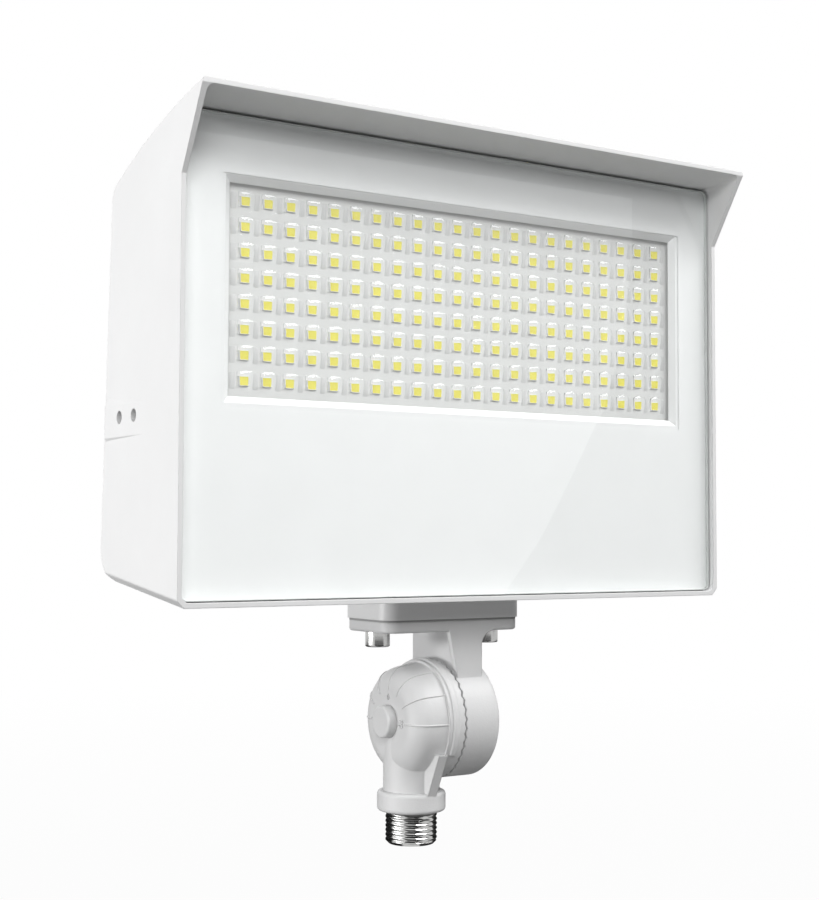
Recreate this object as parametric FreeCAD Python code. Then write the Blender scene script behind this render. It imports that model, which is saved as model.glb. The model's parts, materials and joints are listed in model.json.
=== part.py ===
"""LED flood light: a drafted cast housing with a hood over flat glass, aimed on a serrated knuckle.

Millimetres, +Z up, the light leaves towards -Y. The origin is on the nipple's axis, at the
underside of the collar, where the nipple enters the box or pipe that carries the light.
"""
import FreeCAD, Part
import math
import os

# Fits and clearances
running_gap = 0.05          # radial play of the turning joint
press_gap = 0.02            # radial play of a pressed or screwed piece
drop_gap = 0.35             # side play of a piece that is laid in a recess
screw_play = 0.3            # radial play of a screw in a plain hole
stack_gap = 0.2             # free air between stacked faces that do not clamp

# Nipple with a straight half-inch pipe thread, its turns drawn as closed rings
thread_d = 20.9
thread_pitch = 1.814
thread_depth = 1.0
thread_root = 0.25          # flat at the bottom of the groove
thread_crest = 0.25         # flat left on the crest
thread_length = 13.1
thread_chamfer = 1.3
wire_bore_d = 13.0
spigot_d = 17.0
spigot_length = 12.0

# Lower arm: collar, stem, ribs and the domed half of the knuckle
collar_d = 27.8
collar_height = 8.0
collar_round = 1.4
stem_d = 22.9
pivot_height = 36.1
joint_offset = 10.4         # from the nipple's axis to the serrated parting plane
joint_d = 48.0              # outside of both serrated halves
disc_width = 7.7
band_stand = 0.8            # raised band, past the outside of the joint
band_inset = 3.2
band_width = 3.0
band_round = 0.7
band_foot = 12.5            # how far below the pivot the raised band ends
dome_step = 0.8             # dome, inside the outside of the joint
dome_draft = 2.6            # how much the dome draws in to its end
dome_depth = 21.6
dome_round = 8.5
dome_wall = 4.0
rib_reach = 21.9
rib_foot_reach = 13.6
rib_top_drop = 12.0         # top of the ribs below the pivot
rib_offset = -1.2
rib_thick = 4.2

# Serrated joint
tooth_count = 40
tooth_depth = 0.6
tooth_tip_gap = 0.2
tooth_share = 0.8           # share of the pitch that a groove takes
register_d = 33.9
register_wall = 2.4
register_length = 3.0
ring_section_d = 1.4

# Pivot bolt, nut and cap
pivot_bolt_d = 8.0
pivot_head_d = 13.0
pivot_head_height = 5.0
pivot_socket_flats = 6.0
pivot_socket_depth = 3.0
pivot_washer_d = 16.0
pivot_washer_thick = 1.6
nut_flats = 13.0
nut_height = 6.0
nut_recess_gap = 1.0
cap_stand = 3.9
cap_plug_length = 3.0
cap_round = 0.9
hub_d = 17.0

# Upper arm: drum, neck and flange
drum_width = 17.6
drum_round = 3.0
neck_height = 36.1          # pivot to the underside of the flange
neck_width = 12.0
neck_setback = 0.9          # how far the neck stays behind the parting plane
neck_fin_reach = 3.8        # front fin, past the neck's left face at the flange
neck_fin_thick = 2.5
neck_fillet = 6.0
neck_bore_d = 7.0
wire_notch_margin = 0.85    # inside the register's recess
flange_length = 65.6
flange_width = 33.0
flange_thick = 4.4
flange_corner = 6.0
flange_round = 1.2
flange_bolt_inset = 6.0     # from the flange's end
flange_bolt_d = 6.0
flange_bolt_grip = 12.8     # length in the pad
flange_head_d = 10.0
flange_head_height = 6.0
flange_socket_flats = 5.0
flange_socket_depth = 3.0
knuckle_gasket_thick = 0.8

# Housing casting
pad_margin = 0.75           # past the flange on each side
pad_height = 7.6            # underside of the pad to the lower front edge
pad_roof = 3.2              # metal over the ends of the flange bolts
rim_front = -31.6           # front plane of the rim, from the pivot
rim_width = 258.0
rim_wall = 1.9
side_round = 1.5            # rounding of the long edges of the sides
bottom_chamfer = 2.8        # on the long lower edges of the sides
housing_depth = 78.0
side_taper = 2.0            # how much each side draws in from rim to back
bottom_rise = 9.0
cheek_rise = 154.3          # lower edge to the kink where the hood begins
hood_height = 184.8
hood_reach = 17.3
hood_thick = 1.9
hood_root_drop = 5.3        # hood top at the tip, down to its underside at the ledge
hood_inner_round = 2.5
top_drop = 23.8
top_crown = 3.3
back_lean = 8.5
bend_round = 8.0
heel_round = 14.0
housing_wall = 3.0
back_wall = 9.0
shelf_thick = 4.0
ledge_width = 6.0
pocket_corner = 6.0

# Cooling fins in the upper back
fin_count = 18
fin_thick = 3.0
fin_depth = 6.0
fin_side_inset = 19.5       # inside the cover's ends
fin_above_cover = 10.0
fin_top_margin = 11.2

# Side bosses with tapped holes for an accessory bracket
boss_front = 33.6           # behind the rim's front plane
boss_back_margin = 6.9
boss_height = 17.0
boss_chamfer = 1.0
boss_slope = 4.0            # height of the sloping upper edge
boss_above_rim = 70.6
boss_floor = 3.0            # metal under the holes
boss_hole_d = 5.0
boss_hole_span = 13.8
boss_hole_inset = 16.0      # the boss's front end to the middle of the pair
boss_hole_depth = 9.0

# Glass, its printed border and its gasket
glass_thick = 3.2
glass_recess = 2.3
glass_corner = 3.0
print_thick = 0.15
window_side = 4.0           # clear window past the frame's opening
window_low = 4.3
window_high = 2.9
print_window_corner = 1.0
glass_gasket_thick = 1.0
glass_gasket_width = 5.0

# Light engine
led_pitch = 9.5
led_size = 3.5
led_height = 0.65
board_thick = 1.6
board_margin = 1.5          # inside the frame's edge
lens_sheet_thick = 1.0
lens_air = 0.25
lens_rib = 2.0
lens_dome_d = 9.0
lens_dome_height = 1.8
frame_side_gap = 2.6        # to the pocket's side walls
frame_top_gap = 6.4         # to the pocket's roof
frame_height = 103.0
frame_border_side = 11.6
frame_border_high = 12.2
field_margin = 5.0          # frame opening to the outer rows of emitters, at least
frame_bevel = 2.5
board_screw_d = 3.0
screw_end_gap = 0.5         # a screw's end, short of the shelf's far face
board_head_d = 5.6
board_head_height = 1.6
board_screw_inset = 3.3
board_screw_columns = 4

# Driver and wiring behind the shelf
driver_height = 46.0
driver_depth = 30.0
driver_wall = 1.5
driver_lid_thick = 1.5
driver_above_rim = 26.0
driver_ear = 12.0
driver_ear_thick = 2.0
driver_screw_d = 4.0
driver_head_d = 8.0
driver_head_height = 2.6
lid_screw_d = 2.5
lid_screw_grip = 4.5
lid_head_d = 4.6
lid_head_height = 1.5
lid_post = 7.0
surge_length = 21.0
surge_depth = 20.0
surge_height = 24.0
surge_gap = 6.0             # past the driver's ear
surge_end_gap = 1.0         # to the side boss
surge_screw_d = 4.0
surge_tab = 10.0
surge_tab_thick = 2.5
terminal_length = 18.0
terminal_depth = 16.0
terminal_height = 30.0
terminal_gap = 6.0
terminal_poles = 3
terminal_hole_d = 4.0
terminal_screw_d = 4.2
terminal_screw_length = 5.0
lead_d = 2.0
lead_bend = 6.0
lead_below_edge = 3.5       # the board's upper edge to the leads' way through the shelf
lead_out = 12.0             # from the shelf to the leads' upright run
lead_hole_d = 3.0
solder_stand = 0.3
bushing_wall = 1.2
bushing_lip = 2.0
bushing_lip_thick = 1.5
ground_screw_d = 4.0
ground_head_d = 8.4
ground_head_height = 3.0
ground_offset = 60.0
ground_above_driver = 14.0

# Rear cover on the leaning back
cover_side_margin = 2.5
cover_height = 56.0
cover_margin = 1.0          # flat left between the heel's rounding and the cover
cover_thick = 3.0
cover_corner = 5.0
cover_gasket_thick = 1.0
cover_seal_width = 8.0
cover_screw_columns = 3
cover_screw_d = 4.0
cover_screw_grip = 6.0
cover_head_d = 7.6
cover_head_height = 2.4

# Sizes and places worked out from the sizes above
band_d = joint_d + 2 * band_stand
dome_d = joint_d - 2 * dome_step
dome_end_d = dome_d - 2 * dome_draft
nut_recess_d = pivot_washer_d + 2 * nut_recess_gap
wire_notch_rise = (register_d - neck_bore_d) / 2 - wire_notch_margin
flange_bolt_span = flange_length - 2 * flange_bolt_inset
flange_bolt_length = flange_thick + knuckle_gasket_thick + flange_bolt_grip
pad_length = flange_length + 2 * pad_margin
pad_width = flange_width + 2 * pad_margin
pad_corner = flange_corner + pad_margin
pad_block_height = flange_bolt_grip + pad_roof
boss_length = housing_depth - boss_front - boss_back_margin
boss_block = boss_hole_depth + boss_floor
head_x = joint_offset
flange_low = pivot_height + neck_height
flange_top = flange_low + flange_thick
pad_low = flange_top + knuckle_gasket_thick
rim_low = pad_low + pad_height
rim_half = rim_width / 2
rim_back = rim_front + housing_depth
hood_top = rim_low + hood_height
hood_tip = rim_front - hood_reach
bend_y = rim_back - back_lean
bend_z = hood_top - top_drop
heel_z = rim_low + bottom_rise
opening_half = rim_half - rim_wall
opening_low = rim_low + rim_wall
opening_high = hood_top - hood_root_drop
glass_front = rim_front + glass_recess
glass_back = glass_front + glass_thick
print_back = glass_back + print_thick
ledge_y = print_back + glass_gasket_thick
glass_half = opening_half - drop_gap
glass_low = opening_low + drop_gap
glass_high = opening_high - drop_gap
pocket_half = opening_half - ledge_width
pocket_low = opening_low + ledge_width
pocket_high = opening_high - ledge_width
frame_width = 2 * (pocket_half - frame_side_gap)
frame_opening_width = frame_width - 2 * frame_border_side
frame_opening_height = frame_height - 2 * frame_border_high
light_z = pocket_high - frame_top_gap - frame_height / 2
board_width = frame_width - 2 * board_margin
board_height = frame_height - 2 * board_margin
led_columns = int((frame_opening_width - 2 * field_margin) / led_pitch) + 1
led_rows = int((frame_opening_height - 2 * field_margin) / led_pitch) + 1
frame_front = print_back + stack_gap
lens_front = frame_front + stack_gap + lens_dome_height
lens_back = lens_front + lens_sheet_thick
board_front = lens_back + lens_air + led_height
shelf_front = board_front + board_thick
shelf_back = shelf_front + shelf_thick
board_screw_length = shelf_back - screw_end_gap - lens_front
driver_screw_length = driver_ear_thick + shelf_thick - screw_end_gap
block_screw_length = surge_tab_thick + shelf_thick - screw_end_gap
lid_screw_length = driver_lid_thick + lid_screw_grip
cover_screw_length = cover_thick + cover_gasket_thick + cover_screw_grip
disc_face = joint_offset - tooth_tip_gap / 2
drum_face = joint_offset + tooth_tip_gap / 2
drum_end = joint_offset + drum_width
dome_start = joint_offset - band_inset - band_width
dome_face = joint_offset - dome_depth
drum_recess_end = drum_face + register_length
pivot_head_face = dome_face + cap_plug_length
pivot_head_seat = pivot_head_face + pivot_head_height
nut_seat = drum_end - nut_height - pivot_washer_thick
neck_bore_x = joint_offset + neck_setback + neck_width / 2
block_room = driver_ear + surge_gap + surge_length + surge_end_gap
driver_length = 2 * (rim_half - side_taper - boss_block - block_room)
driver_low = rim_low + driver_above_rim
driver_high = driver_low + driver_height
driver_back = shelf_back + driver_depth
lead_z = light_z + board_height / 2 - lead_below_edge
back_length = math.hypot(back_lean, bend_z - heel_z)
cover_width = 2 * (rim_half - side_taper - side_round - cover_side_margin)
cover_low = heel_round + cover_margin
cover_high = cover_low + cover_height
fin_field_width = cover_width - 2 * fin_side_inset
fin_low = cover_high + fin_above_cover
fin_high = back_length - bend_round - fin_top_margin

x_axis = FreeCAD.Vector(1, 0, 0)
y_axis = FreeCAD.Vector(0, 1, 0)
z_axis = FreeCAD.Vector(0, 0, 1)
back_up = FreeCAD.Vector(0, -back_lean / back_length, (bend_z - heel_z) / back_length)
back_out = FreeCAD.Vector(0, back_up.z, -back_up.y)
past = 1.0                  # how far a cutter runs past the face it opens


# Building blocks


def vec(x, y, z):
    return FreeCAD.Vector(x, y, z)


def block(x_low, x_high, y_low, y_high, z_low, z_high):
    corner = vec(x_low, y_low, z_low)
    return Part.makeBox(x_high - x_low, y_high - y_low, z_high - z_low, corner)


def rod(diameter, start, length, axis):
    return Part.makeCylinder(diameter / 2, length, start, axis)


def axle(diameter, x_low, x_high):
    """A round bar on the pivot axis."""
    return rod(diameter, vec(x_low, 0, pivot_height), x_high - x_low, x_axis)


def prism(points, travel):
    return Part.Face(Part.makePolygon(points + points[:1])).extrude(travel)


def edges_along(shape, axis, chosen=None):
    """Straight edges parallel to an axis, where chosen says yes to their middle."""
    found = []
    for edge in shape.Edges:
        if not isinstance(edge.Curve, Part.Line):
            continue
        if abs(abs(edge.Curve.Direction.dot(axis)) - 1) > 1e-6:
            continue
        if chosen is None or chosen(edge.CenterOfMass):
            found.append(edge)
    return found


def round_edges_at(shape, radius, chosen):
    """Fillet the circular edges whose middle is chosen."""
    circles = [edge for edge in shape.Edges if isinstance(edge.Curve, Part.Circle)]
    return shape.makeFillet(radius, [edge for edge in circles if chosen(edge)])


def rounded_block(x_low, x_high, y_low, y_high, z_low, z_high, axis, radius):
    """A block whose four edges along one axis are rounded."""
    solid = block(x_low, x_high, y_low, y_high, z_low, z_high)
    return solid.makeFillet(radius, edges_along(solid, axis))


def hexagon(flats, start, length, axis):
    """A hexagonal bar along X or Z."""
    across = flats / math.sqrt(3)
    side = y_axis
    up = axis.cross(side)
    corners = []
    for step in range(6):
        turn = math.radians(60 * step)
        corners.append(start + side * (across * math.cos(turn)) + up * (across * math.sin(turn)))
    return prism(corners, axis * length)


def screw(diameter, length, head_d, head_height, seat, axis):
    """A pan-head screw whose head rests on seat and whose shank runs along axis."""
    head = rod(head_d, seat, head_height, axis * -1)
    rim = [edge for edge in head.Edges if (edge.CenterOfMass - seat).Length > head_height / 2]
    head = head.makeFillet(head_height * 0.4, [edge for edge in rim if edge.Closed and edge.Length > head_d])
    return head.fuse(rod(diameter, seat, length, axis))


def screw_hole(diameter, length, seat, axis):
    """The plain hole that a screw goes through, with its play."""
    return rod(diameter + 2 * screw_play, seat - axis * past, length + 2 * past, axis)


def tapped_hole(diameter, length, seat, axis):
    """The hole that a screw bites in, closed round its shank and a little deeper."""
    return rod(diameter + 2 * press_gap, seat - axis * past, length + 2 * past, axis)


def spread(count, span):
    """Evenly spaced offsets about zero that fill a span."""
    return [span * (index / (count - 1) - 0.5) for index in range(count)]


def save(name, shape):
    """Write one sub-part and say what was written."""
    solids = shape.Solids
    if not shape.isValid() or not solids:
        raise RuntimeError(name + " is not a sound solid")
    kept = solids[0] if len(solids) == 1 else Part.makeCompound(solids)
    kept.exportStep(os.path.join("parts", name + ".step"))
    print(name, len(solids), "solids", round(shape.Volume, 1), "mm3")


# Nipple and lower arm


def make_nipple():
    """The threaded tube, with a plain spigot that is pressed in the stem."""
    tube = rod(thread_d, vec(0, 0, -thread_length), thread_length, z_axis)
    end = [edge for edge in tube.Edges if edge.Closed and edge.CenterOfMass.z < past - thread_length]
    tube = tube.makeChamfer(thread_chamfer, end)
    slope = (thread_pitch - thread_crest - thread_root) / 2 / thread_depth
    outside = thread_depth / 10
    outer_half = thread_root / 2 + slope * (thread_depth + outside)
    crest_r = thread_d / 2 + outside
    root_r = thread_d / 2 - thread_depth
    groove = Part.Face(Part.makePolygon([
        vec(crest_r, 0, outer_half),
        vec(root_r, 0, thread_root / 2),
        vec(root_r, 0, -thread_root / 2),
        vec(crest_r, 0, -outer_half),
        vec(crest_r, 0, outer_half),
    ])).revolve(vec(0, 0, 0), z_axis, 360)
    for turn in range(int(thread_length / thread_pitch)):
        tube = tube.cut(groove.translated(vec(0, 0, -(turn + 0.5) * thread_pitch)))
    spigot = rod(spigot_d, vec(0, 0, 0), spigot_length, z_axis)
    whole = thread_length + spigot_length
    bore = rod(wire_bore_d, vec(0, 0, -thread_length - past), whole + 2 * past, z_axis)
    return tube.fuse(spigot).cut(bore)


def tooth_grooves(face_x, inward, first_turn):
    """V grooves that run to the pivot axis, to be cut in a face square to X."""
    reach = joint_d / 2 + drop_gap
    depth = inward * tooth_depth * reach / (joint_d / 2)
    half = math.pi / tooth_count * tooth_share * reach
    middle = vec(face_x, 0, pivot_height)
    corners = [middle + vec(0, -half, reach), middle + vec(0, half, reach), middle + vec(depth, 0, reach)]
    faces = [Part.Face(Part.makePolygon(corners + corners[:1]))]
    for index in range(len(corners)):
        side = [corners[index], corners[index - 1], middle]
        faces.append(Part.Face(Part.makePolygon(side + side[:1])))
    grooves = []
    for step in range(tooth_count):
        groove = Part.Solid(Part.Shell(faces))
        groove.rotate(middle, x_axis, (step + first_turn) * 360 / tooth_count)
        grooves.append(groove)
    return Part.makeCompound(grooves)


def make_dome():
    """The domed end with its rounded shoulder, solid."""
    outline = [(dome_face, 0), (dome_face, dome_end_d / 2), (dome_start, dome_d / 2), (dome_start, 0)]
    corners = [vec(x, 0, pivot_height + radius) for x, radius in outline]
    face = Part.Face(Part.makePolygon(corners + corners[:1]))
    dome = face.revolve(vec(joint_offset, 0, pivot_height), x_axis, 360)
    return round_edges_at(dome, dome_round, lambda edge: abs(edge.Vertexes[0].Point.x - dome_face) < 1e-6)


def make_lower_arm():
    """Collar, stem, ribs and the domed half of the joint, hollow for the wires."""
    collar = rod(collar_d, vec(0, 0, 0), collar_height, z_axis)
    collar = round_edges_at(collar, collar_round, lambda edge: True)
    stem = rod(stem_d, vec(0, 0, collar_height / 2), pivot_height - collar_height / 2, z_axis)
    disc = axle(joint_d, disc_face - disc_width, disc_face)
    band_low = pivot_height - band_foot
    upper_side = block(dome_start, joint_offset, -band_d, band_d, band_low, pivot_height + band_d)
    band = round_edges_at(axle(band_d, dome_start, dome_start + band_width), band_round, lambda edge: True)
    band = band.common(upper_side)
    rib_top = pivot_height - rib_top_drop
    rib_foot = collar_height - collar_round
    rib = prism([
        vec(rib_offset, -rib_reach, rib_top),
        vec(rib_offset, -rib_foot_reach, rib_foot),
        vec(rib_offset, rib_foot_reach, rib_foot),
        vec(rib_offset, rib_reach, rib_top),
    ], x_axis * rib_thick)
    drum_room = axle(joint_d + 2 * drop_gap, disc_face, disc_face + stem_d)
    arm = make_dome().multiFuse([collar, stem, disc, band, rib])
    arm = arm.cut(tooth_grooves(disc_face, -1, 0)).cut(drum_room)

    ring_middle = disc_face + register_length / 2
    ring_half = ring_section_d / 2 + press_gap
    ring_seat = axle(register_d + past, ring_middle - ring_half, ring_middle + ring_half)
    ring_core = axle(register_d - 4 * ring_half, ring_middle - register_length, ring_middle + register_length)
    register = axle(register_d, disc_face - past, disc_face + register_length).cut(ring_seat.cut(ring_core))

    cavity = axle(register_d - 2 * register_wall, pivot_head_seat + dome_wall, drum_end)
    cavity = cavity.cut(axle(hub_d, dome_face, disc_face))
    socket = rod(spigot_d + 2 * press_gap, vec(0, 0, -past), spigot_length + past, z_axis)
    wire_way = rod(wire_bore_d, vec(0, 0, 0), pivot_height - hub_d / 2, z_axis)
    bolt_hole = axle(pivot_bolt_d + 2 * press_gap, dome_face - past, drum_end)
    head_hole = axle(pivot_head_d + 2 * press_gap, dome_face - past, pivot_head_seat)
    arm = arm.fuse(register).cut(cavity).cut(socket)
    return arm.cut(wire_way).cut(bolt_hole).cut(head_hole)


def make_joint_ring():
    """The sealing ring in the register's groove."""
    middle = vec(disc_face + register_length / 2, 0, pivot_height)
    return Part.makeTorus((register_d - ring_section_d) / 2, ring_section_d / 2, middle, x_axis)


def make_pivot_bolt():
    """Socket-head bolt on the hinge axis."""
    head = axle(pivot_head_d, pivot_head_face, pivot_head_seat)
    socket = hexagon(pivot_socket_flats, vec(pivot_head_face, 0, pivot_height), pivot_socket_depth, x_axis)
    return head.cut(socket).fuse(axle(pivot_bolt_d, pivot_head_seat, drum_end))


def make_pivot_washer():
    disc = axle(pivot_washer_d, nut_seat, nut_seat + pivot_washer_thick)
    return disc.cut(axle(pivot_bolt_d + 2 * press_gap, nut_seat - past, drum_end))


def make_pivot_nut():
    start = nut_seat + pivot_washer_thick
    nut = hexagon(nut_flats, vec(start, 0, pivot_height), nut_height, x_axis)
    return nut.cut(axle(pivot_bolt_d + 2 * press_gap, start - past, drum_end + past))


def make_pivot_cap():
    """The button that closes the bolt's hole in the dome."""
    cap = axle(pivot_head_d, dome_face - cap_stand, pivot_head_face)
    return round_edges_at(cap, cap_round, lambda edge: edge.CenterOfMass.x < dome_face)


# Upper arm and its fastening


def flange_bolt_places():
    return [head_x + offset for offset in spread(2, flange_bolt_span)]


def make_upper_arm():
    """Flange, neck and drum, with a wire way from the drum's recess to the flange's top."""
    half = flange_width / 2
    flange = rounded_block(
        head_x - flange_length / 2, head_x + flange_length / 2, -half, half,
        flange_low, flange_top, z_axis, flange_corner)
    lower_rim = [edge for edge in flange.Edges if abs(edge.BoundBox.ZMax - flange_low) < 1e-6]
    flange = flange.makeFillet(flange_round, lower_rim)
    drum = axle(joint_d, drum_face, drum_end)
    drum = round_edges_at(drum, drum_round, lambda edge: edge.CenterOfMass.x > drum_end - past)
    neck_left = joint_offset + neck_setback
    neck_right = neck_left + neck_width
    neck_top = flange_low + flange_thick / 2
    neck = block(neck_left, neck_right, -half, half, pivot_height, neck_top)
    fin_room = band_d / 2 + drop_gap
    fin_foot = pivot_height + math.sqrt(fin_room ** 2 - half ** 2)
    fin = prism([
        vec(neck_left, -half, fin_foot),
        vec(neck_left, -half, neck_top),
        vec(neck_left - neck_fin_reach, -half, neck_top),
        vec(neck_left - neck_fin_reach, -half, flange_low),
    ], y_axis * neck_fin_thick)
    fin = fin.cut(axle(2 * fin_room, neck_left - neck_fin_reach, neck_left))
    fillet_low = flange_low - neck_fillet
    gusset = block(neck_right - past, neck_right + neck_fillet, -half, half, fillet_low, neck_top)
    gusset = gusset.cut(rod(2 * neck_fillet, vec(neck_right + neck_fillet, -half - past, fillet_low),
                            flange_width + 2 * past, y_axis))
    arm = flange.multiFuse([drum, neck, fin, gusset])
    arm = arm.cut(tooth_grooves(drum_face, 1, 0.5))
    recess = axle(register_d + 2 * running_gap, drum_face - past, drum_recess_end)
    bolt_bore = axle(pivot_bolt_d + 2 * running_gap, drum_face - past, drum_end + past)
    nut_recess = axle(nut_recess_d, nut_seat, drum_end + past)
    notch_z = pivot_height + wire_notch_rise
    notch = rod(neck_bore_d, vec(drum_face - past, 0, notch_z), neck_bore_x - drum_face + past, x_axis)
    wire_way = rod(neck_bore_d, vec(neck_bore_x, 0, notch_z), flange_top - notch_z + past, z_axis)
    arm = arm.cut(recess).cut(bolt_bore).cut(nut_recess).cut(notch).cut(wire_way)
    for x in flange_bolt_places():
        arm = arm.cut(screw_hole(flange_bolt_d, flange_thick, vec(x, 0, flange_low), z_axis))
    return arm


def make_flange_bolts():
    """Socket-head bolts up through the flange into the pad."""
    bolts = []
    for x in flange_bolt_places():
        seat = vec(x, 0, flange_low)
        bottom = seat - z_axis * flange_head_height
        head = rod(flange_head_d, bottom, flange_head_height, z_axis)
        socket = hexagon(flange_socket_flats, bottom, flange_socket_depth, z_axis)
        bolts.append(head.cut(socket).fuse(rod(flange_bolt_d, seat, flange_bolt_length, z_axis)))
    return Part.makeCompound(bolts)


def make_knuckle_gasket():
    half = flange_width / 2
    sheet = rounded_block(
        head_x - flange_length / 2, head_x + flange_length / 2, -half, half,
        flange_top, pad_low, z_axis, flange_corner)
    sheet = sheet.cut(rod(neck_bore_d, vec(neck_bore_x, 0, flange_top - past), pad_height, z_axis))
    for x in flange_bolt_places():
        sheet = sheet.cut(screw_hole(flange_bolt_d, knuckle_gasket_thick, vec(x, 0, flange_top), z_axis))
    return sheet


# Housing


def half_width(y):
    """Half of the housing's width at a depth, with the draft of its sides."""
    return rim_half - side_taper * (y - rim_front) / housing_depth


def on_back(along, outward):
    """A point of the leaning back's frame, in the plane x = 0."""
    return vec(0, rim_back, heel_z) + back_up * along + back_out * outward


def tapered_slab(y_low, y_high, inset, z_low, z_high):
    """A slab as wide as the housing less an inset on each side."""
    corners = []
    for y, side in ((y_low, -1), (y_low, 1), (y_high, 1), (y_high, -1)):
        corners.append(vec(head_x + side * (half_width(y) - inset), y, z_low))
    return prism(corners, z_axis * (z_high - z_low))


def make_envelope():
    """The outside of the casting, hood and cheeks included, before it is hollowed."""
    left = head_x - rim_half - side_taper
    lower_front = vec(left, rim_front, rim_low)
    kink = vec(left, rim_front, rim_low + cheek_rise)
    tip_low = vec(left, hood_tip, hood_top - hood_thick)
    tip_high = vec(left, hood_tip, hood_top)
    bend = vec(left, bend_y, bend_z)
    heel = vec(left, rim_back, heel_z)
    crown = (tip_high + bend) * 0.5 + vec(0, 0, top_crown)
    outline = Part.Wire([
        Part.LineSegment(lower_front, kink).toShape(),
        Part.LineSegment(kink, tip_low).toShape(),
        Part.LineSegment(tip_low, tip_high).toShape(),
        Part.Arc(tip_high, crown, bend).toShape(),
        Part.LineSegment(bend, heel).toShape(),
        Part.LineSegment(heel, lower_front).toShape(),
    ])
    solid = Part.Face(outline).extrude(x_axis * (2 * (rim_half + side_taper)))
    bend_edge = edges_along(solid, x_axis, lambda p: abs(p.y - bend_y) < past and abs(p.z - bend_z) < past)
    solid = solid.makeFillet(bend_round, bend_edge)
    heel_edge = edges_along(solid, x_axis, lambda p: abs(p.y - rim_back) < past and abs(p.z - heel_z) < past)
    solid = solid.makeFillet(heel_round, heel_edge)
    draft = tapered_slab(hood_tip - past, rim_back + past, 0, rim_low - past, hood_top + top_crown)
    solid = solid.common(draft)
    for side in (-1, 1):
        corner = vec(head_x + side * rim_half, rim_front, rim_low)
        along = vec(-side * side_taper, housing_depth, bottom_rise)
        start = corner - along * (past / housing_depth)
        wedge = prism([
            start + vec(side * past, 0, -past),
            start + vec(side * past, 0, bottom_chamfer + past),
            start + vec(-side * (bottom_chamfer + past), 0, -past),
        ], along * (1 + 2 * past / housing_depth))
        solid = solid.cut(wedge)
        chain = [
            edge for edge in solid.Edges
            if side * (edge.CenterOfMass.x - head_x) > rim_half - side_taper - past
            and edge.CenterOfMass.y > rim_front + past
        ]
        solid = solid.makeFillet(side_round, chain)
    return solid


def make_front_recess():
    """The room in front of the ledge: the glass's seat and the hollow under the hood."""
    slope = (hood_top - hood_thick - opening_high) / (ledge_y - hood_tip)
    front = hood_tip - hood_reach
    front_high = opening_high + slope * (ledge_y - front)
    left = head_x - opening_half
    recess = prism([
        vec(left, front, opening_low),
        vec(left, ledge_y, opening_low),
        vec(left, ledge_y, opening_high),
        vec(left, front, front_high),
    ], x_axis * (2 * opening_half))
    recess = recess.makeFillet(glass_corner, edges_along(recess, y_axis))
    under_hood = vec(0, ledge_y - front, opening_high - front_high).normalize()
    return recess.makeFillet(hood_inner_round, edges_along(recess, under_hood))


def make_rear_cavity():
    """The driver's room between the shelf and the back wall."""
    def floor_z(y):
        return rim_low + bottom_rise * (y - rim_front) / housing_depth + housing_wall

    def roof_z(y):
        return hood_top - top_drop * (y - hood_tip) / (bend_y - hood_tip) - housing_wall

    low = on_back(0, -back_wall)
    high = on_back(back_length, -back_wall)
    left = head_x - rim_half
    cavity = prism([
        vec(left, shelf_back, floor_z(shelf_back)),
        vec(left, low.y, floor_z(low.y)),
        vec(left, high.y, roof_z(high.y)),
        vec(left, shelf_back, roof_z(shelf_back)),
    ], x_axis * rim_width)
    return cavity.common(tapered_slab(shelf_back, rim_back, housing_wall, rim_low, hood_top))


def boss_block_solid(side):
    """One flat side boss, drawn out of the drafted wall, sloping above and chamfered below."""
    y_low = rim_front + boss_front
    face_x = head_x + side * half_width(y_low)
    inner_x = face_x - side * boss_block
    edge_x = face_x - side * boss_chamfer
    low = rim_low + boss_above_rim - boss_height / 2
    high = low + boss_height
    return prism([
        vec(inner_x, y_low, low),
        vec(edge_x, y_low, low),
        vec(face_x, y_low, low + boss_chamfer),
        vec(face_x, y_low, high - boss_slope),
        vec(edge_x, y_low, high),
        vec(inner_x, y_low, high),
    ], y_axis * boss_length)


def boss_hole(side, offset):
    """A tapped hole in a side boss."""
    y_low = rim_front + boss_front
    face_x = head_x + side * half_width(y_low)
    start = vec(face_x + side * past, y_low + boss_hole_inset + offset, rim_low + boss_above_rim)
    return rod(boss_hole_d, start, boss_hole_depth + past, x_axis * -side)


def fin_slots():
    """The grooves that leave upright cooling fins on the back."""
    pitch = (fin_field_width - fin_thick) / (fin_count - 1)
    width = pitch - fin_thick
    slots = []
    for offset in spread(fin_count - 1, fin_field_width - fin_thick - pitch):
        left = x_axis * (head_x + offset - width / 2)
        slots.append(prism([
            left + on_back(fin_low, -fin_depth),
            left + on_back(fin_high, -fin_depth),
            left + on_back(fin_high, housing_depth),
            left + on_back(fin_low, housing_depth),
        ], x_axis * width))
    return Part.makeCompound(slots)


def rear_slab(width, low, high, start, end, corner):
    """A rounded plate in the frame of the leaning back."""
    left = x_axis * (head_x - width / 2)
    slab = prism([
        left + on_back(low, start),
        left + on_back(high, start),
        left + on_back(high, end),
        left + on_back(low, end),
    ], x_axis * width)
    return slab.makeFillet(corner, edges_along(slab, back_out))


def rear_opening(start, end):
    """The opening in the back wall that the rear cover closes."""
    return rear_slab(cover_width - 2 * cover_seal_width, cover_low + cover_seal_width,
                     cover_high - cover_seal_width, start, end, cover_corner)


def rear_screw_seats():
    """Where the rear cover's screw heads rest."""
    span = cover_width - cover_seal_width
    seats = []
    for along in (cover_low + cover_seal_width / 2, cover_high - cover_seal_width / 2):
        for offset in spread(cover_screw_columns, span):
            outward = cover_gasket_thick + cover_thick
            seats.append(x_axis * (head_x + offset) + on_back(along, outward))
    return seats


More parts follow.
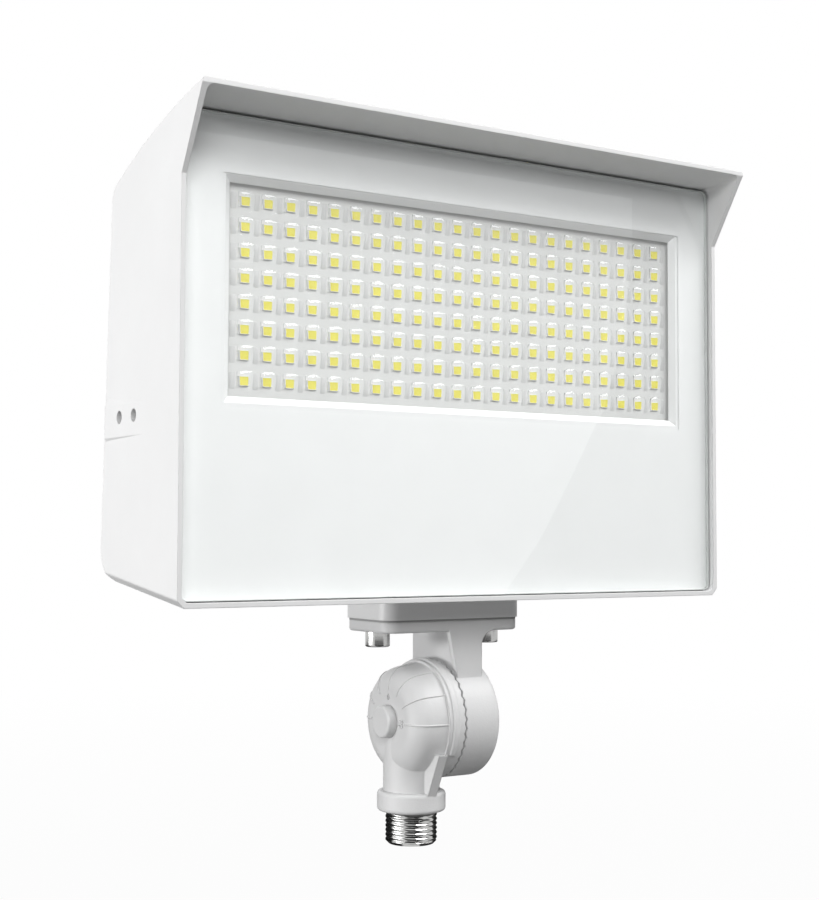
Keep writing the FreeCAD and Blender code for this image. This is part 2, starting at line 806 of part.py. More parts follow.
def board_screw_seats():
    """Where the light board's screw heads rest, on the lens plate."""
    span_x = board_width - 2 * board_screw_inset
    span_z = board_height - 2 * board_screw_inset
    seats = []
    for x in spread(board_screw_columns, span_x):
        for z in spread(2, span_z):
            seats.append(vec(head_x + x, lens_front, light_z + z))
    return seats


def lead_places():
    """The leads pass halfway between two columns of emitters, once on each side of the middle."""
    reach = led_pitch if led_columns % 2 == 0 else led_pitch / 2
    return [head_x - reach, head_x + reach]


def driver_screw_seats():
    reach = driver_length / 2 + driver_ear / 2
    middle = (driver_low + driver_high) / 2
    y = shelf_back + driver_ear_thick
    return [vec(head_x + side * reach, y, middle) for side in (-1, 1)]


def surge_screw_seat():
    x = head_x - driver_length / 2 - driver_ear - surge_gap - surge_length / 2
    return vec(x, shelf_back + surge_tab_thick, driver_low + surge_height + surge_tab / 2)


def terminal_left():
    return head_x + driver_length / 2 + driver_ear + terminal_gap


def terminal_screw_seat():
    x = terminal_left() + terminal_length / 2
    return vec(x, shelf_back + surge_tab_thick, driver_low + terminal_height + surge_tab / 2)


def ground_screw_seat():
    return vec(head_x + ground_offset, shelf_back, driver_high + ground_above_driver)


def make_housing():
    """The whole casting: rim, hood, shelf, back with fins, pad and side bosses."""
    body = make_envelope().cut(make_front_recess())
    pocket = rounded_block(
        head_x - pocket_half, head_x + pocket_half, ledge_y - past, shelf_front,
        pocket_low, pocket_high, y_axis, pocket_corner)
    body = body.cut(pocket).cut(make_rear_cavity()).cut(fin_slots())
    pad = rounded_block(
        head_x - pad_length / 2, head_x + pad_length / 2, -pad_width / 2, pad_width / 2,
        pad_low, pad_low + pad_block_height, z_axis, pad_corner)
    body = body.multiFuse([pad] + [boss_block_solid(side) for side in (-1, 1)])
    cutters = [rear_opening(-back_wall - 2 * past, past)]
    entry_d = neck_bore_d + 2 * (bushing_wall + press_gap)
    cutters.append(rod(entry_d, vec(neck_bore_x, 0, pad_low - past), pad_block_height + 2 * past, z_axis))
    for x in flange_bolt_places():
        cutters.append(tapped_hole(flange_bolt_d, flange_bolt_grip, vec(x, 0, pad_low), z_axis))
    for side in (-1, 1):
        for offset in spread(2, boss_hole_span):
            cutters.append(boss_hole(side, offset))
    for seat in rear_screw_seats():
        cutters.append(tapped_hole(cover_screw_d, cover_screw_length, seat, back_out * -1))
    for seat in board_screw_seats():
        cutters.append(tapped_hole(board_screw_d, board_screw_length, seat, y_axis))
    for seat in driver_screw_seats():
        cutters.append(tapped_hole(driver_screw_d, driver_screw_length, seat, y_axis * -1))
    for seat in (surge_screw_seat(), terminal_screw_seat()):
        cutters.append(tapped_hole(surge_screw_d, block_screw_length, seat, y_axis * -1))
    cutters.append(tapped_hole(ground_screw_d, shelf_thick / 2, ground_screw_seat(), y_axis * -1))
    for x in lead_places():
        cutters.append(rod(lead_hole_d, vec(x, shelf_front - past, lead_z), shelf_thick + 2 * past, y_axis))
    for cutter in cutters:
        body = body.cut(cutter)
    return body


# Glass and light engine


def make_front_glass():
    """Flat glass let into the rim."""
    return rounded_block(
        head_x - glass_half, head_x + glass_half, glass_front, glass_back,
        glass_low, glass_high, y_axis, glass_corner)


def make_glass_print():
    """The white border baked on the back of the glass, with its clear window."""
    border = rounded_block(
        head_x - glass_half, head_x + glass_half, glass_back, print_back,
        glass_low, glass_high, y_axis, glass_corner)
    window_half = frame_opening_width / 2 + window_side
    window = rounded_block(
        head_x - window_half, head_x + window_half, glass_back - past, print_back + past,
        light_z - frame_opening_height / 2 - window_low, light_z + frame_opening_height / 2 + window_high,
        y_axis, print_window_corner)
    return border.cut(window)


def make_glass_gasket():
    """The flat seal between the ledge and the printed border."""
    outer = rounded_block(
        head_x - glass_half, head_x + glass_half, print_back, ledge_y,
        glass_low, glass_high, y_axis, glass_corner)
    inner = rounded_block(
        head_x - glass_half + glass_gasket_width, head_x + glass_half - glass_gasket_width,
        print_back - past, ledge_y + past,
        glass_low + glass_gasket_width, glass_high - glass_gasket_width, y_axis, pocket_corner)
    return outer.cut(inner)


def centred_plate(width, height, y_low, y_high):
    """A plain plate about the middle of the light field."""
    return block(
        head_x - width / 2, head_x + width / 2, y_low, y_high,
        light_z - height / 2, light_z + height / 2)


def frame_outline(grow, y):
    half_x = frame_opening_width / 2 + grow
    half_z = frame_opening_height / 2 + grow
    corners = []
    for side_x, side_z in ((-1, -1), (1, -1), (1, 1), (-1, 1)):
        corners.append(vec(head_x + side_x * half_x, y, light_z + side_z * half_z))
    return Part.makePolygon(corners + corners[:1])


def make_window_frame():
    """The frame whose bevel runs from the window down to the lens plate."""
    frame = centred_plate(frame_width, frame_height, frame_front, lens_front)
    slope = frame_bevel / (lens_front - frame_front)
    outlines = [
        frame_outline(frame_bevel + slope * past, frame_front - past),
        frame_outline(-slope * past, lens_front + past),
    ]
    frame = frame.cut(Part.makeLoft(outlines, True, True))
    for seat in board_screw_seats():
        frame = frame.cut(screw_hole(board_head_d, lens_front - frame_front, seat, y_axis * -1))
    return frame


def led_places():
    """The middle of each light emitter in the plane of the light field."""
    columns = spread(led_columns, (led_columns - 1) * led_pitch)
    rows = spread(led_rows, (led_rows - 1) * led_pitch)
    return [(head_x + x, light_z + z) for z in rows for x in columns]


def make_lens_plate():
    """Clear plate with a rib round its edge and a dome over each emitter."""
    plate = centred_plate(board_width, board_height, lens_front, board_front)
    room = centred_plate(
        board_width - 2 * lens_rib, board_height - 2 * lens_rib, lens_back, board_front + past)
    plate = plate.cut(room)
    for seat in board_screw_seats():
        post = rod(board_head_d, seat, board_front - lens_front, y_axis)
        plate = plate.fuse(post).cut(screw_hole(board_screw_d, board_screw_length, seat, y_axis))
    dome_r = lens_dome_d / 2
    ball_r = (dome_r ** 2 + lens_dome_height ** 2) / (2 * lens_dome_height)
    ball = Part.makeSphere(ball_r, vec(0, lens_front - lens_dome_height + ball_r, 0))
    reach = lens_front + lens_sheet_thick / 2
    dome = ball.common(block(-ball_r, ball_r, lens_front - lens_dome_height - past, reach, -ball_r, ball_r))
    dome = dome.common(rod(lens_dome_d, vec(0, reach, 0), lens_dome_height + lens_sheet_thick, y_axis * -1))
    domes = []
    for x, z in led_places():
        domes.append(dome.translated(vec(x, 0, z)))
    return plate.multiFuse(domes)


def make_led_board():
    """Metal-core board that carries the emitters, with holes for screws and leads."""
    board = centred_plate(board_width, board_height, board_front, shelf_front)
    for seat in board_screw_seats():
        board = board.cut(screw_hole(board_screw_d, board_screw_length, seat, y_axis))
    for x in lead_places():
        start = vec(x, board_front - past, lead_z)
        board = board.cut(rod(lead_hole_d, start, board_thick + 2 * past, y_axis))
    return board


def make_led_chips():
    chips = []
    half = led_size / 2
    for x, z in led_places():
        chips.append(block(x - half, x + half, board_front - led_height, board_front, z - half, z + half))
    return Part.makeCompound(chips)


def make_board_screws():
    screws = []
    for seat in board_screw_seats():
        screws.append(screw(board_screw_d, board_screw_length, board_head_d, board_head_height, seat, y_axis))
    return Part.makeCompound(screws)


# Driver and wiring


def driver_block(inset, y_low, y_high):
    """The driver's outline less an inset on each side."""
    half = driver_length / 2 - inset
    return block(head_x - half, head_x + half, y_low, y_high, driver_low + inset, driver_high - inset)


def lid_screw_seats():
    """Where the lid's screw heads rest, over the posts in the case's corners."""
    middle = (driver_low + driver_high) / 2
    seats = []
    for x in spread(2, driver_length - 2 * driver_wall - lid_post):
        for z in spread(2, driver_height - 2 * driver_wall - lid_post):
            seats.append(vec(head_x + x, driver_back + driver_lid_thick, middle + z))
    return seats


def make_driver_case():
    """The driver's tray with two ears, open towards the back."""
    case = driver_block(0, shelf_back, driver_back)
    room = driver_block(driver_wall, shelf_back + driver_wall, driver_back + past)
    for seat in lid_screw_seats():
        half = lid_post / 2
        room = room.cut(block(seat.x - half, seat.x + half, shelf_back, driver_back + 2 * past,
                              seat.z - half, seat.z + half))
    case = case.cut(room)
    reach = driver_length / 2 + driver_ear
    ears = block(head_x - reach, head_x + reach, shelf_back, shelf_back + driver_ear_thick,
                 driver_low + driver_ear, driver_high - driver_ear)
    case = case.fuse(ears.cut(driver_block(driver_wall, shelf_back - past, driver_back)))
    for seat in driver_screw_seats():
        case = case.cut(screw_hole(driver_screw_d, driver_ear_thick, seat, y_axis * -1))
    for seat in lid_screw_seats():
        case = case.cut(tapped_hole(lid_screw_d, lid_screw_length, seat, y_axis * -1))
    return case


def make_driver_potting():
    """The compound that fills the tray round the circuit."""
    potting = driver_block(driver_wall, shelf_back + driver_wall, driver_back - stack_gap)
    for seat in lid_screw_seats():
        half = lid_post / 2
        potting = potting.cut(block(seat.x - half, seat.x + half, shelf_back, driver_back,
                                    seat.z - half, seat.z + half))
    return potting


def make_driver_lid():
    lid = driver_block(0, driver_back, driver_back + driver_lid_thick)
    for seat in lid_screw_seats():
        lid = lid.cut(screw_hole(lid_screw_d, driver_lid_thick, seat, y_axis * -1))
    return lid


def make_lid_screws():
    screws = []
    for seat in lid_screw_seats():
        screws.append(screw(lid_screw_d, lid_screw_length, lid_head_d, lid_head_height, seat, y_axis * -1))
    return Part.makeCompound(screws)


def make_driver_screws():
    screws = []
    for seat in driver_screw_seats():
        screws.append(screw(
            driver_screw_d, driver_screw_length, driver_head_d, driver_head_height, seat, y_axis * -1))
    return Part.makeCompound(screws)


def tabbed_block(left, length, depth, height):
    """A block on the shelf's back with a screw tab on its top."""
    body = block(left, left + length, shelf_back, shelf_back + depth, driver_low, driver_low + height)
    body = body.makeFillet(driver_wall, edges_along(body, y_axis))
    tab = block(left, left + length, shelf_back, shelf_back + surge_tab_thick,
                driver_low + height / 2, driver_low + height + surge_tab)
    return body.fuse(tab)


def make_surge_protector():
    seat = surge_screw_seat()
    body = tabbed_block(seat.x - surge_length / 2, surge_length, surge_depth, surge_height)
    return body.cut(screw_hole(surge_screw_d, surge_tab_thick, seat, y_axis * -1))


def terminal_heights():
    """The middle height of each pole of the terminal block."""
    pole = terminal_height / terminal_poles
    return [driver_low + pole * (index + 0.5) for index in range(terminal_poles)]


def make_terminal_block():
    """Supply terminals: a wire hole in each side and a clamp screw from the back for each pole."""
    seat = terminal_screw_seat()
    left = terminal_left()
    body = tabbed_block(left, terminal_length, terminal_depth, terminal_height)
    body = body.cut(screw_hole(surge_screw_d, surge_tab_thick, seat, y_axis * -1))
    middle_y = shelf_back + terminal_depth / 2
    for z in terminal_heights():
        start = vec(left - past, middle_y, z)
        body = body.cut(rod(terminal_hole_d, start, terminal_length + 2 * past, x_axis))
        top = vec(seat.x, shelf_back + terminal_depth, z)
        body = body.cut(tapped_hole(terminal_screw_d, terminal_depth / 2 - past, top, y_axis * -1))
    return body


def make_terminal_screws():
    """One slotted clamp screw for each pole."""
    screws = []
    for z in terminal_heights():
        top = vec(terminal_left() + terminal_length / 2, shelf_back + terminal_depth, z)
        pin = rod(terminal_screw_d, top, terminal_screw_length, y_axis * -1)
        reach = terminal_screw_d
        slot = block(top.x - reach, top.x + reach, top.y - terminal_screw_d / 4, top.y + past,
                     z - terminal_screw_d / 10, z + terminal_screw_d / 10)
        screws.append(pin.cut(slot))
    return Part.makeCompound(screws)


def make_block_screws():
    """The screws through the tabs of the surge protector and the terminal block."""
    screws = []
    for seat in (surge_screw_seat(), terminal_screw_seat()):
        screws.append(screw(
            surge_screw_d, block_screw_length, driver_head_d, driver_head_height, seat, y_axis * -1))
    return Part.makeCompound(screws)


def make_ground_screw():
    seat = ground_screw_seat()
    return screw(ground_screw_d, shelf_thick / 2, ground_head_d, ground_head_height, seat, y_axis * -1)


def make_led_leads():
    """Two leads that rise from the driver and turn forward to the board."""
    upright_y = shelf_back + lead_out
    leads = []
    for x in lead_places():
        foot = vec(x, upright_y, driver_high)
        knee_low = vec(x, upright_y, lead_z - lead_bend)
        knee_top = vec(x, upright_y - lead_bend, lead_z)
        share = 1 - math.sqrt(0.5)
        knee = vec(x, upright_y - lead_bend * share, lead_z - lead_bend * share)
        end = vec(x, board_front - solder_stand, lead_z)
        path = Part.Wire([
            Part.LineSegment(foot, knee_low).toShape(),
            Part.Arc(knee_low, knee, knee_top).toShape(),
            Part.LineSegment(knee_top, end).toShape(),
        ])
        section = Part.Wire([Part.makeCircle(lead_d / 2, foot, z_axis)])
        leads.append(path.makePipeShell([section], True, False))
    return Part.makeCompound(leads)


def make_supply_leads():
    """Straight leads from the driver's end into the terminal block."""
    start_x = head_x + driver_length / 2
    reach = terminal_left() + terminal_length / 4 - start_x
    leads = []
    for z in terminal_heights():
        leads.append(rod(lead_d, vec(start_x, shelf_back + terminal_depth / 2, z), reach, x_axis))
    return Part.makeCompound(leads)


def make_wire_bushing():
    """Rubber sleeve with an inner lip, where the wires come up through the pad."""
    sleeve_d = neck_bore_d + 2 * bushing_wall
    top = pad_low + pad_block_height
    sleeve = rod(sleeve_d, vec(neck_bore_x, 0, pad_low), pad_block_height + bushing_lip_thick, z_axis)
    lip = rod(sleeve_d + 2 * bushing_lip, vec(neck_bore_x, 0, top), bushing_lip_thick, z_axis)
    bore = rod(neck_bore_d, vec(neck_bore_x, 0, pad_low - past), pad_block_height + 2 * housing_wall, z_axis)
    return sleeve.fuse(lip).cut(bore)


# Rear cover


def make_rear_cover():
    """Cast lid over the driver's room."""
    start = cover_gasket_thick
    end = cover_gasket_thick + cover_thick
    cover = rear_slab(cover_width, cover_low, cover_high, start, end, cover_corner)
    for seat in rear_screw_seats():
        cover = cover.cut(screw_hole(cover_screw_d, cover_thick, seat, back_out * -1))
    return cover


def make_rear_gasket():
    gasket = rear_slab(cover_width, cover_low, cover_high, 0, cover_gasket_thick, cover_corner)
    gasket = gasket.cut(rear_opening(-past, cover_gasket_thick + past))
    for seat in rear_screw_seats():
        gasket = gasket.cut(screw_hole(cover_screw_d, cover_thick + cover_gasket_thick, seat, back_out * -1))
    return gasket


def make_rear_screws():
    screws = []
    for seat in rear_screw_seats():
        screws.append(screw(
            cover_screw_d, cover_screw_length, cover_head_d, cover_head_height, seat, back_out * -1))
    return Part.makeCompound(screws)


pieces = {
    "nipple": make_nipple,
    "lower_arm": make_lower_arm,
    "joint_ring": make_joint_ring,
    "pivot_bolt": make_pivot_bolt,
    "pivot_washer": make_pivot_washer,
    "pivot_nut": make_pivot_nut,
    "pivot_cap": make_pivot_cap,
    "upper_arm": make_upper_arm,
    "flange_bolts": make_flange_bolts,
    "knuckle_gasket": make_knuckle_gasket,
    "housing": make_housing,
    "front_glass": make_front_glass,
    "glass_print": make_glass_print,
    "glass_gasket": make_glass_gasket,
    "window_frame": make_window_frame,
    "lens_plate": make_lens_plate,
    "led_board": make_led_board,
    "led_chips": make_led_chips,
    "board_screws": make_board_screws,
    "driver_case": make_driver_case,
    "driver_potting": make_driver_potting,
    "driver_lid": make_driver_lid,
    "lid_screws": make_lid_screws,
    "driver_screws": make_driver_screws,
    "surge_protector": make_surge_protector,
    "terminal_block": make_terminal_block,
    "terminal_screws": make_terminal_screws,
    "block_screws": make_block_screws,
    "ground_screw": make_ground_screw,
    "led_leads": make_led_leads,
    "supply_leads": make_supply_leads,
    "wire_bushing": make_wire_bushing,
    "rear_cover": make_rear_cover,
    "rear_gasket": make_rear_gasket,
    "rear_screws": make_rear_screws,
}

if __name__ == "__main__":
    os.makedirs("parts", exist_ok=True)
    for name, make in pieces.items():
        save(name, make())
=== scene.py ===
# %% [markdown]
# # An LED flood light, dressed for its portrait
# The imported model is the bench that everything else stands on. It holds every casting, screw and
# seal at its real size, in metres, with the threaded nipple on the origin and the light leaving
# towards -Y. We could rebuild the castings here, but they are already right, so this lesson gives
# them finishes and replaces only the few pieces whose charm is finer than a solid can hold.

# %% Load the frame
import json
import math

import bmesh
import bpy
from mathutils import Euler, Matrix, Vector


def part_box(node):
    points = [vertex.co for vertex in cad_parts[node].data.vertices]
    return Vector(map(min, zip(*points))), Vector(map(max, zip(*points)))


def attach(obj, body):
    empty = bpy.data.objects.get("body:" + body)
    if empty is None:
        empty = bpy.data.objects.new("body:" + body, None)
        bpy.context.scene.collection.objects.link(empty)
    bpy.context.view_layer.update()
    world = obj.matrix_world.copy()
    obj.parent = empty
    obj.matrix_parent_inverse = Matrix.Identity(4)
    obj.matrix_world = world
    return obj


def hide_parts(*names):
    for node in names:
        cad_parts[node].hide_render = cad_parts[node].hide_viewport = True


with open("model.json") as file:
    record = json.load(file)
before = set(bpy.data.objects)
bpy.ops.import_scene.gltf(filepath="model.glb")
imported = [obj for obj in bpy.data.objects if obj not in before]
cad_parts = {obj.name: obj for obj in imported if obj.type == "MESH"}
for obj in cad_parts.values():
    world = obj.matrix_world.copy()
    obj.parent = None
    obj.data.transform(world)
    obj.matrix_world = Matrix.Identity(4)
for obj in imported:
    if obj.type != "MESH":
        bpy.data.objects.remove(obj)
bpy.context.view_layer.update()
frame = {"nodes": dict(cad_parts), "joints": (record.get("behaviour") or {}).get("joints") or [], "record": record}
nodes = frame["nodes"]
slot_of = {piece["node"]: piece["material_slot"] for piece in frame["record"]["subparts"]}

# %% [markdown]
# ## Measuring the frame
# Every new piece has to sit on a casting, so we read sizes from the frame and never type a place
# twice. The pivot comes from the joint itself, and each piece further down reads the box of the node
# that it belongs to.

# %% Places read from the frame
mm = 0.001
pivot = Vector(frame["joints"][0]["pos_m"])
head_x = pivot.x
print("pivot at", [round(value, 4) for value in pivot])

# %% [markdown]
# ## A small workshop for meshes
# Most of the new pieces are turned, swept or tiled. A mesh can be made with operators, with
# modifiers or point by point. Point by point is the clearest for machined pieces, because every
# radius is a number we can name. Two helpers cover it: one makes an object from points and faces and
# says which body it rides on, and one lays quads over a grid of points.

# %% Mesh helpers
crease_angle = math.radians(32)
weld_reach = 0.002 * mm


def new_piece(name, points, faces, body, slot, *coats):
    """A mesh object from points and faces, smooth but for its sharp edges, riding on a body."""
    mesh = bpy.data.meshes.new(name)
    mesh.from_pydata([tuple(point) for point in points], [], faces)
    mesh.validate()
    work = bmesh.new()
    work.from_mesh(mesh)
    bmesh.ops.remove_doubles(work, verts=work.verts, dist=weld_reach)
    bmesh.ops.recalc_face_normals(work, faces=work.faces)
    work.to_mesh(mesh)
    work.free()
    mesh.polygons.foreach_set("use_smooth", [True] * len(mesh.polygons))
    mesh.set_sharp_from_angle(angle=crease_angle)
    piece = bpy.data.objects.new(name, mesh)
    bpy.context.scene.collection.objects.link(piece)
    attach(piece, body)
    for coat in coats:
        mesh.materials.append(coat)
    print(name, len(mesh.vertices), "points")
    return piece


def grid_faces(rows, columns, first=0, closed_rows=False):
    """Quads over a grid of points that is closed along each row, and round its rows if asked."""
    faces = []
    for row in range(rows if closed_rows else rows - 1):
        after = (row + 1) % rows
        for column in range(columns):
            beside = (column + 1) % columns
            faces.append((
                first + row * columns + column, first + row * columns + beside,
                first + after * columns + beside, first + after * columns + column))
    return faces


# %% [markdown]
# ## Grain, mottle and brushed lines as node groups
# Powder coat is a skin of melted grains: it shows as a faint orange peel and a slight unevenness in
# gloss. Steel shows drawn lines. These effects turn up on several finishes, so each is a node group
# with named sockets, and each material sets its own strength. A group hands out only values that
# change over the surface. The shader itself stays in the material.

# %% Node group helpers


def new_group(name, inputs, outputs):
    """An empty shader node group with float inputs and outputs, and its two end nodes."""
    group = bpy.data.node_groups.new(name, "ShaderNodeTree")
    for label, value in inputs:
        socket = group.interface.new_socket(label, in_out="INPUT", socket_type="NodeSocketFloat")
        socket.default_value = value
    for label in outputs:
        group.interface.new_socket(label, in_out="OUTPUT", socket_type="NodeSocketFloat")
    return group, group.nodes.new("NodeGroupInput"), group.nodes.new("NodeGroupOutput")


def noise(tree, vector, scale, detail=2.0, roughness=0.5):
    """A noise texture on a vector, at a scale that is a number or another socket."""
    texture = tree.nodes.new("ShaderNodeTexNoise")
    texture.inputs["Detail"].default_value = detail
    texture.inputs["Roughness"].default_value = roughness
    tree.links.new(vector, texture.inputs["Vector"])
    if isinstance(scale, (int, float)):
        texture.inputs["Scale"].default_value = scale
    else:
        tree.links.new(scale, texture.inputs["Scale"])
    return texture.outputs["Fac"]


def calculate(tree, operation, first, second):
    """A math node on two sockets or numbers."""
    node = tree.nodes.new("ShaderNodeMath")
    node.operation = operation
    for value, socket in zip((first, second), node.inputs):
        if isinstance(value, (int, float)):
            socket.default_value = value
        else:
            tree.links.new(value, socket)
    return node.outputs[0]


def object_place(tree):
    """The place of a point in its own object."""
    return tree.nodes.new("ShaderNodeTexCoord").outputs["Object"]


# %% Powder coat group


def build_powder_grain():
    """Fine peel for bump, and a slow mottle for colour and gloss."""
    group, start, end = new_group(
        "powder_grain", [("Grain Scale", 900.0), ("Mottle Scale", 30.0)], ["Height", "Mottle", "Speck"])
    place = object_place(group)
    peel = noise(group, place, start.outputs["Grain Scale"], 3.0, 0.55)
    mottle = noise(group, place, start.outputs["Mottle Scale"], 4.0, 0.6)
    speck_scale = calculate(group, "MULTIPLY", start.outputs["Grain Scale"], 2.3)
    speck = noise(group, place, speck_scale, 1.0, 0.5)
    group.links.new(peel, end.inputs["Height"])
    group.links.new(mottle, end.inputs["Mottle"])
    group.links.new(speck, end.inputs["Speck"])
    return group


powder_grain = build_powder_grain()
print("group", powder_grain.name)

# %% Drawn steel group


def build_drawn_lines():
    """Long fine lines along one axis of the object, for turned and drawn steel."""
    group, start, end = new_group(
        "drawn_lines", [("Along X", 40.0), ("Along Y", 40.0), ("Along Z", 2500.0)], ["Lines", "Cloud"])
    place = object_place(group)
    stretch = group.nodes.new("ShaderNodeVectorMath")
    stretch.operation = "MULTIPLY"
    join = group.nodes.new("ShaderNodeCombineXYZ")
    for label, axis in (("Along X", "X"), ("Along Y", "Y"), ("Along Z", "Z")):
        group.links.new(start.outputs[label], join.inputs[axis])
    group.links.new(place, stretch.inputs[0])
    group.links.new(join.outputs[0], stretch.inputs[1])
    group.links.new(noise(group, stretch.outputs[0], 1.0, 3.0, 0.6), end.inputs["Lines"])
    group.links.new(noise(group, place, 60.0, 3.0, 0.5), end.inputs["Cloud"])
    return group


drawn_lines = build_drawn_lines()
print("group", drawn_lines.name)

# %% [markdown]
# ## Finishes
# A finish is a Principled shader whose colour, roughness and bump are nudged by one of the groups.
# We keep the nudges small: paint that left the factory last week is nearly even, but not quite, and
# that "not quite" is what the eye takes for a real surface.

# %% Finish helpers
mask_low, mask_high = 0.3, 0.7


def new_finish(name):
    """A new material with its node tree and its Principled shader."""
    finish = bpy.data.materials.new(name)
    finish.use_nodes = True
    tree = finish.node_tree
    return finish, tree, tree.nodes["Principled BSDF"]


def place_group(tree, group, **values):
    """One use of a shared group, with its own values; underscores stand for blanks."""
    node = tree.nodes.new("ShaderNodeGroup")
    node.node_tree = group
    for label, value in values.items():
        node.inputs[label.replace("_", " ").title()].default_value = value
    return node


def vary_colour(tree, shader, mask, dark, light):
    """Base Color runs from dark to light with a mask."""
    ramp = tree.nodes.new("ShaderNodeValToRGB")
    ramp.color_ramp.elements[0].position = mask_low
    ramp.color_ramp.elements[0].color = (*dark, 1)
    ramp.color_ramp.elements[1].position = mask_high
    ramp.color_ramp.elements[1].color = (*light, 1)
    tree.links.new(mask, ramp.inputs[0])
    tree.links.new(ramp.outputs["Color"], shader.inputs["Base Color"])


def vary_roughness(tree, shader, mask, low, high):
    """Roughness runs from low to high with a mask."""
    span = tree.nodes.new("ShaderNodeMapRange")
    span.inputs["From Min"].default_value = mask_low
    span.inputs["From Max"].default_value = mask_high
    span.inputs["To Min"].default_value = low
    span.inputs["To Max"].default_value = high
    tree.links.new(mask, span.inputs["Value"])
    tree.links.new(span.outputs["Result"], shader.inputs["Roughness"])


def raise_bump(tree, shader, height, strength, distance):
    """The shader's normal follows a height."""
    bump = tree.nodes.new("ShaderNodeBump")
    bump.inputs["Strength"].default_value = strength
    bump.inputs["Distance"].default_value = distance
    tree.links.new(height, bump.inputs["Height"])
    tree.links.new(bump.outputs["Normal"], shader.inputs["Normal"])
    return bump


# %% Painted castings


def powder_coat(name, dark, light, gloss, grain_scale, peel, peel_depth, edge_round):
    """Powder coat on a casting: colour mottle, uneven gloss, orange peel and softly rounded edges."""
    finish, tree, shader = new_finish(name)
    grain = place_group(tree, powder_grain, grain_scale=grain_scale, mottle_scale=26.0)
    vary_colour(tree, shader, grain.outputs["Mottle"], dark, light)
    vary_roughness(tree, shader, grain.outputs["Speck"], *gloss)
    bump = raise_bump(tree, shader, grain.outputs["Height"], peel, peel_depth)
    soften = tree.nodes.new("ShaderNodeBevel")
    soften.samples = 6
    soften.inputs["Radius"].default_value = edge_round
    tree.links.new(soften.outputs["Normal"], bump.inputs["Normal"])
    return finish


housing_paint = powder_coat(
    "housing_paint", (0.72, 0.721, 0.722), (0.745, 0.746, 0.747), (0.36, 0.46), 700.0,
    peel=0.1, peel_depth=0.1 * mm, edge_round=0.5 * mm)
# The knuckle wears the housing's white powder coat, set darker here as painted shade: it stands in for the shade
# that the housing casts over the knuckle. The aiming marks share it.
knuckle_coat_with_painted_shade = (0.62, 0.621, 0.623), (0.68, 0.681, 0.682), (0.42, 0.58), 1300.0
knuckle_paint = powder_coat(
    "knuckle_paint", *knuckle_coat_with_painted_shade, peel=0.45, peel_depth=0.14 * mm, edge_round=0.9 * mm)
mark_paint = powder_coat(
    "mark_paint", *knuckle_coat_with_painted_shade, peel=0.2, peel_depth=0.1 * mm, edge_round=0.1 * mm)
print("painted castings", housing_paint.name, knuckle_paint.name, mark_paint.name)

# %% Steels


def steel(name, dark, light, gloss, along, peel):
    """Drawn or plated steel with lines along one axis."""
    finish, tree, shader = new_finish(name)
    shader.inputs["Metallic"].default_value = 1.0
    lines = place_group(tree, drawn_lines, along_x=along[0], along_y=along[1], along_z=along[2])
    vary_colour(tree, shader, lines.outputs["Cloud"], dark, light)
    vary_roughness(tree, shader, lines.outputs["Lines"], *gloss)
    raise_bump(tree, shader, lines.outputs["Lines"], peel, 0.02 * mm)
    return finish


plated_steel = steel(
    "plated_steel", (0.47, 0.47, 0.465), (0.55, 0.55, 0.54), (0.1, 0.18), (60, 60, 2200), 0.03)
fastener_steel = steel(
    "fastener_steel", (0.42, 0.42, 0.42), (0.5, 0.5, 0.49), (0.12, 0.2), (60, 60, 1800), 0.03)
driver_metal = steel(
    "driver_metal", (0.62, 0.62, 0.63), (0.72, 0.72, 0.73), (0.34, 0.46), (30, 1800, 1800), 0.05)
print("steels", plated_steel.name, fastener_steel.name, driver_metal.name)

# %% Moulded and printed pieces


def moulded(name, dark, light, gloss, peel=0.08):
    """Moulded plastic, rubber, resin or ink with a faint grain."""
    finish, tree, shader = new_finish(name)
    grain = place_group(tree, powder_grain, grain_scale=1600.0, mottle_scale=45.0)
    vary_colour(tree, shader, grain.outputs["Mottle"], dark, light)
    vary_roughness(tree, shader, grain.outputs["Speck"], *gloss)
    raise_bump(tree, shader, grain.outputs["Height"], peel, 0.05 * mm)
    return finish


seal_rubber = moulded("seal_rubber", (0.27, 0.27, 0.27), (0.33, 0.33, 0.33), (0.6, 0.75), 0.2)
white_print = moulded("white_print", (0.91, 0.911, 0.912), (0.93, 0.931, 0.932), (0.3, 0.36), 0.02)
frame_plastic = moulded("frame_plastic", (0.885, 0.885, 0.887), (0.91, 0.91, 0.912), (0.34, 0.42), 0.05)
board_white = moulded("board_white", (0.74, 0.74, 0.73), (0.78, 0.78, 0.77), (0.3, 0.4), 0.05)
potting = moulded("potting", (0.045, 0.045, 0.045), (0.075, 0.075, 0.075), (0.4, 0.6), 0.3)
block_plastic = moulded("block_plastic", (0.08, 0.08, 0.08), (0.12, 0.12, 0.12), (0.35, 0.5))
terminal_plastic = moulded("terminal_plastic", (0.8, 0.8, 0.77), (0.86, 0.86, 0.83), (0.35, 0.5))
ground_green = moulded("ground_green", (0.07, 0.33, 0.11), (0.12, 0.42, 0.17), (0.3, 0.4))
lead_insulation = moulded("lead_insulation", (0.7, 0.7, 0.7), (0.78, 0.78, 0.78), (0.35, 0.5))
print("moulded finishes made")

# %% [markdown]
# ## Clear glass and clear lens plastic
# The glass is flat, the lens plate is domed, and both have to let the lamps reach the board behind
# them. A refracting shader alone casts a solid shadow, so shadow rays and soft bounces see a plain
# transparent shader instead, and the same lamp is never counted twice. That mix stays in the
# material, where Light Path belongs.

# %% Clear finishes


